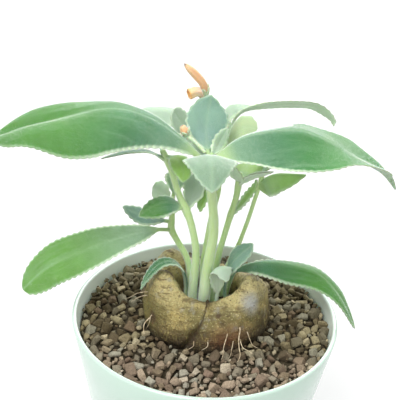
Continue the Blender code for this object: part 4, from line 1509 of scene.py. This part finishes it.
LEAVES = (
    Leaf("leaf_main_left", "stem_main", 192, ((-13.5, -10.3, 202.7), (-28.5, -11, 212.9),
         (-46, -11, 216.1), (-71, -5.8, 206.7), (-100, -4, 194.6)), 40, roll=-8.3, twist=3.3,
         fold=16.3, unfold=30.3, curl=1.0, stalk=0.0, belly=0.64, point=0.81, tone=Tone.MEADOW),
    Leaf("leaf_main_right", "stem_main", 192, ((8, -9, 203.6), (20.5, -9, 208.7), (36, -9, 210.8),
         (52, -7.3, 204.3), (64, -7.3, 197.7), (74, -6, 191.7), (80, -9.3, 186)), 42, roll=5.1,
         twist=-16.7, fold=-25.5, unfold=38.7, curl=0.0, stalk=0.0, belly=0.56, point=0.74,
         tone=Tone.SPRUCE),
    Leaf("leaf_main_front", "stem_main", 193, ((-2.2, -15, 198.5), (-2, -22, 202.4),
         (-1.7, -29, 204.6), (-1.2, -36.5, 203.5), (-0.3, -45, 197)), 21.5, fold=2, stalk=0.0,
         belly=0.46, tone=Tone.SILVER),
    Leaf("leaf_main_back", "stem_main", 194.5, ((-4.2, -1.5, 200), (-4.6, 1.5, 204),
         (-4.5, 5, 208.8), (-4.2, 8, 213.1), (-3.4, 9.5, 217.3)), 18, fold=6, stalk=0.06,
         belly=0.58, point=1.0, tone=Tone.BLUE),
    Leaf("leaf_main_young", "stem_main", 195, ((0.6, -3.2, 198.2), (2.5, -2.4, 202.6),
         (4.4, -1.9, 207)), 5.4, roll=50, fold=20, stalk=0.05, tone=Tone.FROST),
    Leaf("leaf_main_inner", "stem_main", 187, ((-5.2, 1.5, 191), (-7.6, 4.6, 195.5),
         (-10.2, 6.5, 200.2)), 8, roll=-40, fold=10, tone=Tone.PEARL),
    Leaf("leaf_left_low_out", "stem_left", 165, ((-18.3, -3, 168.6), (-23.6, -5, 168.7),
         (-28.9, -6, 166.1), (-33.1, -6, 162)), 11, roll=-28, fold=-14, stalk=0.0,
         tone=Tone.MEADOW),
    Leaf("leaf_left_low_up", "stem_left", 163, ((-9.9, 2.6, 168.5), (-8.8, 4, 171.5),
         (-8.5, 6, 175), (-8.3, 9, 179)), 9.5, fold=20, stalk=0.0, belly=0.6, tone=Tone.FROST),
    Leaf("leaf_left_top_out", "stem_left", 187, ((-29.5, 2, 191.6), (-36, 1.5, 191.6),
         (-43, 0.5, 190.4), (-51, -1, 187.7)), 11, roll=20, belly=0.46, tone=Tone.BLUE),
    Leaf("leaf_left_top_in", "stem_left", 188.5, ((-18.3, 0, 190), (-15.2, -3, 188.6),
         (-13.6, -5.5, 185.8), (-13.5, -7.5, 181.8)), 10, roll=10, tone=Tone.LIME),
    Leaf("leaf_left_top_back", "stem_left", 188, ((-26.5, 14, 191), (-30, 26, 190),
         (-33, 38, 181)), 15, fold=-8, stalk=0.2),
    Leaf("leaf_far_left_long", "stem_far_left", 147, ((-26.5, 6, 148.5), (-37.5, -2, 149.5),
         (-55.5, -7, 144), (-74, -10, 134.5), (-87, -12, 121.8)), 22, roll=-26, fold=4, curl=0.12,
         stalk=0.05, belly=0.66, point=0.5),
    Leaf("leaf_far_left_short", "stem_far_left", 150.5, ((-25.5, 12, 150.8), (-31.8, 13, 151.2),
         (-36.8, 14, 152.8), (-43, 15, 155.1)), 9, roll=-20, tone=Tone.BLUE),
    Leaf("leaf_far_left_top_out", "stem_far_left", 157.5, ((-22.2, 13.4, 163.4),
         (-25, 13.2, 166.2), (-28.6, 13, 167.8)), 8.6, roll=-55, fold=-10, stalk=0.25, belly=0.6,
         point=0.5, tone=Tone.PAINTED_LIGHT),
    Leaf("leaf_far_left_top_back", "stem_far_left", 160.5, ((-18, 22, 167), (-16, 34, 166),
         (-15, 41, 161)), 13),
    Leaf("leaf_back_left", "stem_back", 186, ((-8, 24, 195.5), (-18, 26, 200.3), (-33, 29, 200.5),
         (-46, 30, 196)), 15, roll=-8, fold=-6, stalk=0.0, tone=Tone.FROST),
    Leaf("leaf_back_silver", "stem_back", 183, ((-3.5, 15.5, 190), (-11.5, 13.5, 197),
         (-17, 12, 203), (-20.2, 11, 208.6)), 12.5, roll=-45, fold=14, belly=0.7, point=0.5,
         tone=Tone.FROST),
    Leaf("leaf_back_right", "stem_back", 187.5, ((7, 24.2, 198), (10.2, 25, 203.2),
         (15.4, 25.8, 205.8), (25, 27, 207.4), (35, 28, 208.4), (45, 28, 207.6), (53, 28, 202.5),
         (55, 28, 198.5)), 12, roll=-36, fold=6, curl=0.1, stalk=0.12, belly=0.55,
         tone=Tone.FROST),
    Leaf("leaf_back_short", "stem_back", 188.5, ((3.6, 27, 198.5), (6.6, 31, 202.2),
         (11, 32, 203.6), (16.7, 32.5, 204)), 7.5, belly=0.6, tone=Tone.FROST),
    Leaf("leaf_back_pale", "stem_back", 181.5, ((6.2, 14.8, 190.5), (8.6, 13.8, 197.2),
         (12.5, 13.6, 201.1), (18.4, 13, 201.2)), 13, roll=40, belly=0.66, point=0.6,
         tone=Tone.PALE),
    Leaf("leaf_back_rear", "stem_back", 182, ((1, 31, 192), (0, 45, 191), (-1, 58, 180)), 22,
         fold=-8, stalk=0.14),
    Leaf("leaf_back_low", "stem_back", 166, ((-3, 8, 170.5), (-5, 5.5, 167.5), (-5.5, 4, 161)),
         6, tone=Tone.LIME),
    Leaf("leaf_right_narrow", "stem_right", 159.5, ((13.6, 6.2, 165.4), (16.7, 5.6, 171),
         (18.9, 5, 175.4), (19.8, 4.5, 179.4)), 3.4, roll=55, fold=16, stalk=0.0, tone=Tone.LIME),
    Leaf("leaf_right_near", "stem_right", 176.5, ((10.6, 5, 179.8), (9.6, 4.4, 183),
         (8.8, 3.6, 186)), 7, fold=10, stalk=0.0, belly=0.45, tone=Tone.PEARL),
    Leaf("leaf_right_out", "stem_right", 174.5, ((14.2, 5.6, 178.2), (17, 4, 182.1),
         (21.2, 2, 184.9), (26.6, 0, 186.3)), 7, roll=-30, fold=-8, stalk=0.0, belly=0.6,
         tone=Tone.PEARL),
    Leaf("leaf_right_back", "stem_right", 177, ((12.8, 14, 177.8), (15.6, 20.5, 178),
         (20.4, 27, 176.6), (27, 32, 172.6)), 14, fold=-4, stalk=0.0, tone=Tone.LIME),
    Leaf("leaf_far_right_out", "stem_far_right", 174, ((24.6, 9.6, 178.4), (29, 9, 180.6),
         (34, 8, 181.6), (42, 6, 182.9)), 15, roll=8, fold=-34, stalk=0.0, belly=0.28,
         tone=Tone.SUNLIT),
    Leaf("leaf_far_right_back", "stem_far_right", 176, ((25, 21, 181), (30, 31, 182),
         (35, 39, 175)), 12, stalk=0.2),
    Leaf("leaf_crown_arch", None, (-10, 1.8, 114), ((-10.2, 1.8, 121), (-11.2, 1, 127.5),
         (-13.5, -0.5, 133), (-17.2, -3, 137), (-21.8, -5, 137.3), (-25.8, -6.5, 134),
         (-29, -7, 128.9), (-31.5, -7.5, 123)), 7, fold=14, stalk=0.28, tone=Tone.DEEP),
    Leaf("leaf_crown_upright", None, (9.6, 0.2, 114), ((9, 0, 124), (10.4, 0.2, 132.4),
         (13.5, 0.6, 139.1), (20.8, 3.8, 145.7)), 13, fold=14, stalk=0.3, belly=0.66,
         tone=Tone.BLUE),
    Leaf("leaf_crown_curled", None, (5.3, -5.2, 114), ((5.2, -4.9, 123), (4.6, -4.6, 131),
         (5.3, -5.2, 137), (7.6, -8.6, 138), (9.2, -11.4, 133)), 10.5, fold=-8, stalk=0.2,
         belly=0.6, tone=Tone.PEARL),
    Leaf("leaf_crown_young", None, (8.6, -2.9, 114), ((9.6, -3.8, 117.5), (11.6, -4.6, 120.8)), 4,
         fold=20, stalk=0.3),
    Leaf("leaf_crown_long", None, (9.6, 4, 114), ((11.5, 4, 124), (14.6, 4, 130.5),
         (24.9, 4, 135.2), (39.3, 4, 135), (54, 3, 131), (65.4, 1, 120), (74.3, -1, 104)), 14,
         roll=24, twist=-17, fold=-38, unfold=59, curl=0.4, stalk=0.16, belly=0.54, point=0.76,
         tone=Tone.MEADOW),
)


@dataclass
class LeafMaker:
    """Makes fine leaves: toothed, netted with impressed veins, and thick along the midrib."""

    pitch: float = 0.6
    blade: float = 0.55
    margin: float = 0.28
    petiole: float = 1.8
    tooth: float = 0.75
    tooth_pitch: float = 3.0
    vein_depth: float = 0.13
    side_veins: float = 0.14
    wave: float = 0.9
    wave_length: float = 13.0
    rib: float = 0.45
    finishes: dict = field(default_factory=dict)

    def foot(self, leaf: Leaf) -> Vector:
        """Finds where a leaf's stalk begins: just inside its stem, or on the tuber's crown.

        Args:
            leaf: The leaf.

        Returns:
            The first point of its midrib.
        """
        if leaf.stem is None:
            return Vector(leaf.at) - Vector((0, 0, 1.2))
        stem = next(stem for stem in STEMS if stem.name == leaf.stem)
        axis, radius = stem.at(leaf.at)
        above, _ = stem.at(leaf.at + 1.0)
        grain = (above - axis).normalized()
        away = (Vector(leaf.midrib[0]) - axis).normalized()
        out = (away - grain * away.dot(grain)).normalized()
        return axis + out * (radius - 0.9)

    @staticmethod
    def past_middle(share: float) -> float:
        """Returns how much of a leaf's twist and unfolding has come in at a share of its length."""
        return smoothstep(0.40, 0.85, share)

    def axis(self, leaf: Leaf) -> tuple[list[tuple[Vector, Vector, Vector]], float]:
        """Lays out a leaf's midrib.

        Args:
            leaf: The leaf.

        Returns:
            (point, left side, upper side) at even steps, and the length of one step.
        """
        knots = ((*self.foot(leaf), 0.0), *((*point, 0.0) for point in leaf.midrib))
        path = even_path(knots, self.pitch)
        ways = headings(path)
        chord = path[-1][0] - path[0][0]
        level = Vector((-chord.y, chord.x, 0)).normalized()
        frames = []
        for station, ((point, _), along) in enumerate(zip(path, ways)):
            side = (level - along * level.dot(along)).normalized()
            up = along.cross(side)
            share = station / (len(path) - 1)
            turn = math.radians(leaf.roll + leaf.twist * self.past_middle(share))
            frames.append((point, side * math.cos(turn) + up * math.sin(turn),
                           up * math.cos(turn) - side * math.sin(turn)))
        return frames, (path[1][0] - path[0][0]).length

    def half_width(self, leaf: Leaf, share: float) -> float:
        """Gives half a leaf's width, without its teeth.

        Args:
            leaf: The leaf.
            share: How far along the midrib, from 0 to 1.

        Returns:
            Half the width, in millimetres.
        """
        stalk = 0.5 * self.petiole
        along = (share - leaf.stalk) / (1 - leaf.stalk)
        if along <= 0:
            return stalk
        rear = leaf.point * leaf.belly / (1 - leaf.belly)
        peak = leaf.belly ** rear * (1 - leaf.belly) ** leaf.point
        blade = 0.5 * leaf.width * along ** rear * (1 - along) ** leaf.point / peak
        return max(blade, stalk * (1 - along), 0.25)

    def scallop(self, run: float) -> float:
        """Returns how far the margin's teeth stand out, 0 to 1, leaning towards the tip."""
        place = run / self.tooth_pitch % 1.0
        return math.sin(math.pi * place ** 1.5) ** 0.8

    def veins(self, leaf: Leaf, run: float, off: float, place: float) -> float:
        """Returns 1 on a rib of the leaf and 0 between the ribs.

        Args:
            leaf: The leaf.
            run: How far along the midrib, in millimetres.
            off: How far from the midrib, in millimetres.
            place: The same as a share of the half width.

        Returns:
            The closeness to a rib.
        """
        gap = max(2.6, 0.17 * leaf.width)
        phase = (run - 1.3 * off - 0.02 * off * off + 0.5 * gap * (place > 0)) / gap
        across = abs(phase - round(phase)) * gap
        side = math.exp(-((across / 0.50) ** 2)) * smoothstep(1.0, 0.75, abs(place))
        middle = math.exp(-((off / 0.75) ** 2))
        return max(middle, self.side_veins * side)

    def thickness(self, share: float, place: float, bladed: float) -> float:
        """Gives how thick a leaf is.

        Args:
            share: How far along the midrib, from 0 to 1.
            place: How far from the midrib, as a share of the half width.
            bladed: How far the stalk has turned into the blade, from 0 to 1.

        Returns:
            The thickness, in millimetres.
        """
        rib = max(1 - abs(place) * 2.5, 0.0) * (1 - share) * self.rib
        round_off = math.sqrt(max(1 - place * place, 0.0))
        stalky = self.petiole * (0.12 + 0.88 * round_off)
        thin = self.margin + (self.blade - self.margin) * min(round_off * 1.6, 1.0)
        return stalky + (thin - stalky) * bladed + rib * bladed

    def build(self, leaf: Leaf) -> bpy.types.Object:
        """Makes one leaf.

        Args:
            leaf: The leaf.

        Returns:
            Its piece.
        """
        frames, step = self.axis(leaf)
        stations = len(frames) - 1
        lanes = 2 * max(round(0.5 * leaf.width / self.pitch), 5)
        seed = sum(map(ord, leaf.name))
        shape = bmesh.new()
        bmesh.ops.create_grid(shape, x_segments=stations, y_segments=lanes, size=1.0)
        weights = shape.verts.layers.deform.new()
        layers = {name: shape.verts.layers.float.new(name) for name in ("along", "vein", "edge")}
        blade = shape.verts.layers.float_vector.new("blade")
        for vertex in shape.verts:
            station = round((vertex.co.x + 1) / 2 * stations)
            place = vertex.co.y
            share = station / stations
            run = station * step
            point, side, upper = frames[station]
            reach = self.half_width(leaf, share)
            bladed = smoothstep(leaf.stalk, leaf.stalk + 0.12, share)
            toothed = smoothstep(leaf.stalk + 0.04, leaf.stalk + 0.14, share) * (share < 0.985)
            fold = math.tan(math.radians(leaf.fold + leaf.unfold * self.past_middle(share)))
            soft = math.sqrt(place * place + 0.004) - 0.063
            lift = bladed * reach * (fold * soft - leaf.curl * place * place)
            vein = self.veins(leaf, run, abs(place) * reach, place)
            lift -= self.vein_depth * vein * bladed
            wave = noise.noise(Vector((run / self.wave_length, place * 1.3, seed)))
            lift += self.wave * wave * bladed * abs(place) * min(reach / 8.0, 1.0)
            spread = self.tooth * self.scallop(run + 0.7 * place) * toothed * abs(place) ** 7
            off = place * reach + math.copysign(spread, place)
            vertex.co = point + side * off + upper * lift
            thickness = self.thickness(share, place, bladed)
            vertex[weights][0] = min(thickness / self.petiole, 1.0)
            vertex[layers["along"]] = share
            vertex[layers["vein"]] = vein * bladed
            vertex[layers["edge"]] = reach * (1 - abs(place)) + 2.0 * (1 - bladed)
            vertex[blade] = Vector((run, off, seed * 1.7))
        item = piece_of(f"{leaf.name}_blade", shape, Slot.LEAF, *self.dress(leaf.tone),
                        recalculate=False)
        solid = thicken(item, self.petiole)
        solid.vertex_group = item.vertex_groups.new(name="thickness").name
        solid.material_offset = 1
        solid.material_offset_rim = 2
        settle(item)
        item.data.shade_smooth()
        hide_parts(leaf.name)
        return item

    def dress(self, tone: Tone) -> list[bpy.types.Material]:
        """Gives the materials of a tone, made on first use.

        Args:
            tone: The tone.

        Returns:
            The material of each face.
        """
        if tone not in self.finishes:
            self.finishes[tone] = [LeafFinish(tone, face).material() for face in Face]
        return self.finishes[tone]


@dataclass
class Down:
    """Short white hairs that stand on a piece's faces."""

    seed: int = 17
    width: float = 0.055
    lean: float = 0.38
    lengths: tuple = (0.55, 1.15)

    @staticmethod
    def scatter(host: bpy.types.Object, density: float, rim: float,
                draw: np.random.Generator) -> tuple[np.ndarray, np.ndarray]:
        """Picks where hairs stand on a piece.

        Args:
            host: The piece.
            density: How many stand on a square millimetre.
            rim: How many more stand on a square millimetre of its third material.
            draw: Where the random numbers come from.

        Returns:
            The hairs' roots, in millimetres, and the way that the face under each looks.
        """
        mesh = host.data
        mesh.calc_loop_triangles()
        count = len(mesh.loop_triangles)
        corners = np.empty(count * 3, np.int32)
        mesh.loop_triangles.foreach_get("vertices", corners)
        kinds = np.empty(count, np.int32)
        mesh.loop_triangles.foreach_get("material_index", kinds)
        points = np.empty(len(mesh.vertices) * 3, np.float32)
        mesh.vertices.foreach_get("co", points)
        corner = points.reshape(-1, 3)[corners.reshape(-1, 3)] / MM
        cross = np.cross(corner[:, 1] - corner[:, 0], corner[:, 2] - corner[:, 0])
        area = np.linalg.norm(cross, axis=1) / 2
        wanted = area * (density + rim * (kinds == 2))
        number = np.floor(wanted + draw.random(count)).astype(int)
        chosen = np.repeat(np.arange(count), number)
        weight = draw.random((len(chosen), 2))
        over = weight.sum(axis=1) > 1
        weight[over] = 1 - weight[over]
        a, b, c = corner[chosen, 0], corner[chosen, 1], corner[chosen, 2]
        return (a + (b - a) * weight[:, :1] + (c - a) * weight[:, 1:],
                cross[chosen] / (2 * area[chosen, None] + 1e-12))

    def sprout(self, name: str, hosts: list[bpy.types.Object], density: float, length: float,
               slot: Slot, finish: bpy.types.Material, rim: float = 0.0) -> bpy.types.Object:
        """Grows hairs on pieces.

        Args:
            name: The name of the piece that holds the hairs.
            hosts: The pieces that they grow on.
            density: How many hairs stand on a square millimetre.
            length: The length of a hair, in millimetres, before chance changes it.
            slot: The record's material slot.
            finish: The hairs' material.
            rim: How many more stand on a square millimetre of a host's third material.

        Returns:
            The piece that holds the hairs.
        """
        draw = np.random.default_rng(self.seed)
        spots = [self.scatter(host, density, rim, draw) for host in hosts]
        root = np.vstack([roots for roots, _ in spots])
        way = np.vstack([ways for _, ways in spots])
        way = way + draw.normal(0, self.lean, way.shape)
        way /= np.linalg.norm(way, axis=1)[:, None]
        side = np.cross(way, draw.normal(size=way.shape))
        side /= np.linalg.norm(side, axis=1)[:, None]
        tall = length * draw.uniform(*self.lengths, len(root))
        turns = np.stack([side * self.width, np.cross(way, side) * self.width,
                          way * tall[:, None]], axis=2)
        mesh = many(self.hair(), root, turns, None, name)
        return publish(name, mesh, slot, finish)

    @staticmethod
    def hair() -> bmesh.types.BMesh:
        """Makes one hair: a slim three-sided spike of unit length, its root just sunk in.

        Returns:
            The hair's shape.
        """
        shape = bmesh.new()
        bmesh.ops.create_cone(shape, cap_ends=False, segments=3, radius1=0.5, radius2=0.0,
                              depth=1.1, matrix=Matrix.Translation((0, 0, 0.45)))
        bmesh.ops.remove_doubles(shape, verts=shape.verts, dist=1e-4)
        bmesh.ops.triangulate(shape, faces=shape.faces)
        return shape


@dataclass(frozen=True)
class Bloom:
    """A flower, bud or flower stalk by its axis, as points (x, y, z, radius), foot first."""

    name: str
    slot: Slot
    points: tuple
    sepals: float = 0.0
    mouth: float = 0.0


BLOOMS = (
    Bloom("flower_stalk", Slot.CALYX, ((3.2, 20.5, 190.6, 0.8), (1, 19, 199, 0.8),
                                       (-3, 17, 208, 0.8), (-5.5, 15.5, 213.5, 1.3))),
    Bloom("flower_tall", Slot.COROLLA, ((-6, 14.9, 214.8, 1.0), (-6.6, 14.3, 218.2, 1.6),
                                        (-7.7, 13.7, 221.2, 1.9), (-10.2, 12.8, 224.4, 2.0),
                                        (-13.4, 11.8, 227.8, 1.7), (-16.2, 11, 230.6, 0.7)),
          sepals=5.0),
    Bloom("flower_short", Slot.COROLLA, ((-6.9, 14.2, 212, 0.8), (-7.9, 12.2, 215.4, 1.2),
                                         (-9.2, 10.9, 217.6, 2.0), (-10.9, 10.1, 218, 2.4),
                                         (-12.4, 9.4, 217.5, 2.4), (-13.5, 8.9, 217.2, 2.3)),
          sepals=2.6, mouth=0.4),
    Bloom("bud_stalk", Slot.CALYX, ((-4.5, -7, 196.8, 0.7), (-8.7, -5.6, 200.4, 0.7),
                                    (-12.3, -4.9, 203, 1.1))),
    Bloom("bud", Slot.COROLLA, ((-12.8, -4.8, 203.8, 1.2), (-14, -4.5, 205.5, 2.0),
                                (-15.4, -4.2, 207.8, 1.0)), sepals=2.4),
)


@dataclass
class FlowerHead:
    """The salmon flowers, with their sepals and stalks."""

    sides: int = 40
    pitch: float = 0.35
    petals: int = 5
    groove: float = 0.13
    flare: tuple = (0.80, 0.12)  # (share of the length where it starts, share of the radius)
    pinch: tuple = (0.93, -0.75)
    throat: float = 3.2
    stalk_sides: int = 20
    stalk_ribs: int = 5
    stalk_rib_depth: float = 0.05
    stalk_pitch: float = 0.5
    sepal_pitch: float = 0.5
    sepal_steps: int = 8
    sepal_width: float = 0.95
    sepal_thickness: float = 0.35

    def corolla(self, bloom: Bloom) -> bmesh.types.BMesh:
        """Makes a corolla of five joined petals, open at a mouth or closed at its tip.

        Args:
            bloom: The flower.

        Returns:
            The corolla's shape.
        """
        path = even_path(bloom.points, self.pitch)
        last = len(path) - 1
        start, change = self.flare if bloom.mouth else self.pinch
        shaped = [(place, radius * (1 + change * smoothstep(start, 1.0, number / last)))
                  for number, (place, radius) in enumerate(path)]
        shape = bmesh.new()
        tube(shaped, self.sides, shape, self.petals, self.groove)
        if bloom.mouth:
            self.open_mouth(shape, path[-1][0], bloom.mouth)
        return shape

    def open_mouth(self, shape: bmesh.types.BMesh, end: Vector, lip: float) -> None:
        """Sinks a throat into the end of a corolla, inside a thin lip.

        Args:
            shape: The corolla's bmesh.
            end: The end of its axis.
            lip: How thick the lip is.
        """
        bmesh.ops.recalc_face_normals(shape, faces=shape.faces)
        cap = min((face for face in shape.faces if len(face.verts) > 4),
                  key=lambda face: (face.calc_center_median() - end).length)
        bmesh.ops.inset_region(shape, faces=[cap], thickness=lip, depth=0.0)
        bmesh.ops.inset_region(shape, faces=[cap], thickness=0.7 * lip, depth=-self.throat)

    def sepal_ring(self, bloom: Bloom) -> bmesh.types.BMesh:
        """Makes five narrow sepals that clasp the foot of a corolla.

        Args:
            bloom: The flower.

        Returns:
            The sepals' shape, without thickness.
        """
        path = even_path(bloom.points, self.sepal_pitch)
        ways = headings(path)
        across = ways[0].orthogonal().normalized()
        over = ways[0].cross(across)
        shape = bmesh.new()
        for number in range(self.petals):
            turn = 2 * math.pi * number / self.petals
            out = across * math.cos(turn) + over * math.sin(turn)
            beside = ways[0].cross(out)
            sheet = bmesh.ops.create_grid(shape, x_segments=self.sepal_steps, y_segments=4,
                                          size=1.0)
            for vertex in sheet["verts"]:
                share = (vertex.co.x + 1) / 2
                step = round(share * bloom.sepals / self.sepal_pitch)
                place, radius = path[min(step, len(path) - 1)]
                narrowing = math.sin(math.pi * min(share * 0.8 + 0.2, 1.0)) ** 0.8
                width = self.sepal_width * narrowing
                spread = 0.35 + 0.7 * share ** 3
                vertex.co = (place + out * (radius + spread - 0.3 * vertex.co.y ** 2)
                             + beside * width * vertex.co.y)
        return shape

    def build(self) -> list[bpy.types.Object]:
        """Makes the flowers, the bud, their sepals and stalks.

        Returns:
            Their pieces.
        """
        made = []
        wool = CalyxFinish().material()
        for bloom in BLOOMS:
            if bloom.slot is Slot.CALYX:
                shape = bmesh.new()
                tube(even_path(bloom.points, self.stalk_pitch), self.stalk_sides, shape,
                     self.stalk_ribs, self.stalk_rib_depth)
                item = piece_of(f"{bloom.name}_skin", shape, bloom.slot, wool)
            else:
                finish = PetalFinish(f"{bloom.name}_petal")
                if bloom.mouth:
                    finish = replace(finish, foot=finish.pale, body=finish.pale, tip=finish.throat)
                petal = finish.material()
                item = piece_of(f"{bloom.name}_corolla", self.corolla(bloom), bloom.slot, petal)
                sepals = piece_of(f"{bloom.name}_sepals", self.sepal_ring(bloom), Slot.CALYX, wool)
                thicken(sepals, self.sepal_thickness)
                settle(sepals)
                sepals.data.shade_smooth()
                made.append(sepals)
            item.data.shade_smooth()
            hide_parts(bloom.name)
            made.append(item)
        return made


@dataclass(frozen=True)
class Lamp:
    """A soft square lamp: where it hangs, in metres, its side, in metres, and its watts."""

    name: str
    place: tuple
    side: float
    power: float

    def hang(self, target: Vector) -> None:
        """Hangs the lamp.

        Args:
            target: What it points at, in metres.
        """
        data = bpy.data.lights.new(self.name, "AREA")
        data.size = self.side
        data.energy = self.power
        lamp = bpy.data.objects.new(self.name, data)
        lamp.location = self.place
        lamp.rotation_mode = "QUATERNION"
        lamp.rotation_quaternion = (target - Vector(self.place)).to_track_quat("-Z", "Y")
        bpy.context.scene.collection.objects.link(lamp)


@dataclass
class Studio:
    """The white sweep, the soft light and the camera of the photo's view."""

    eye: tuple = (0.0, -344.2, 353.7)
    yaw: float = -0.94
    pitch: float = -28.16
    roll: float = 3.31
    focal: float = 76.5
    sensor: float = 36.0
    air: float = 0.72
    floor_reach: float = 6000.0
    middle: Vector = field(default_factory=lambda: Vector((0.0, 0.0, 0.13)))
    lamps: tuple = (Lamp("window", (-0.30, -0.50, 1.10), 0.6, 12.0),
                    Lamp("back_light", (0.20, 0.95, 0.90), 0.8, 14.0))

    def camera(self) -> None:
        """Makes the camera and looks through it."""
        yaw, pitch, roll = (math.radians(angle) for angle in (self.yaw, self.pitch, self.roll))
        ahead = Vector((math.sin(yaw) * math.cos(pitch), math.cos(yaw) * math.cos(pitch),
                        math.sin(pitch)))
        level = Vector((math.cos(yaw), -math.sin(yaw), 0.0))
        above = level.cross(ahead)
        right = level * math.cos(roll) + above * math.sin(roll)
        up = above * math.cos(roll) - level * math.sin(roll)
        data = bpy.data.cameras.new("camera")
        data.lens = self.focal
        data.sensor_width = self.sensor
        data.clip_start = 0.01
        data.clip_end = 20.0
        camera = bpy.data.objects.new("camera", data)
        turn = Matrix((right, up, -ahead)).transposed().to_4x4()
        camera.matrix_world = Matrix.Translation(Vector(self.eye) * MM) @ turn
        bpy.context.scene.collection.objects.link(camera)
        bpy.context.scene.camera = camera

    def sweep(self) -> None:
        """Lays the floor."""
        shape = bmesh.new()
        bmesh.ops.create_grid(shape, x_segments=1, y_segments=1, size=self.floor_reach)
        floor = placed("floor", drawn("floor", shape))
        floor.data.materials.append(FloorFinish().material())

    def build(self) -> None:
        """Makes the floor, the camera, the air's light and the lamps, and sets the view transform.
        """
        self.camera()
        self.sweep()
        world = bpy.data.worlds.new("studio_air")
        world.use_nodes = True
        background = world.node_tree.nodes["Background"]
        background.inputs["Color"].default_value = (1.0, 1.0, 1.0, 1.0)
        background.inputs["Strength"].default_value = self.air
        bpy.context.scene.world = world
        bpy.context.scene.view_settings.view_transform = "Standard"
        for lamp in self.lamps:
            lamp.hang(self.middle)


def main() -> None:
    """Builds every sub-assembly in order."""
    logging.basicConfig(level=logging.INFO, format="%(message)s")
    Studio().build()
    tuber = Tuber()
    pieces = [Pot().build(), tuber.build(), Rootlets(tuber).build(), *GritBed(tuber).build()]
    stems = StemSet().build()
    maker = LeafMaker()
    leaves = [maker.build(leaf) for leaf in LEAVES]
    blooms = FlowerHead().build()
    white = DownFinish().material()
    down = Down()
    large = [item for item in leaves if "_main_" in item.name]
    small = [item for item in leaves if "_main_" not in item.name]
    hairs = [
        down.sprout("down_large_leaves", large, 4.0, 0.55, Slot.LEAF, white, rim=14.0),
        down.sprout("down_small_leaves", small, 3.0, 0.50, Slot.LEAF, white, rim=11.0),
        down.sprout("down_stems", stems, 7.0, 0.75, Slot.STEM, white),
        down.sprout("down_blooms", blooms, 7.0, 0.40, Slot.CALYX, white),
    ]
    for item in [*pieces, *stems, *leaves, *blooms, *hairs]:
        report(item)


if __name__ == "__main__":
    main()
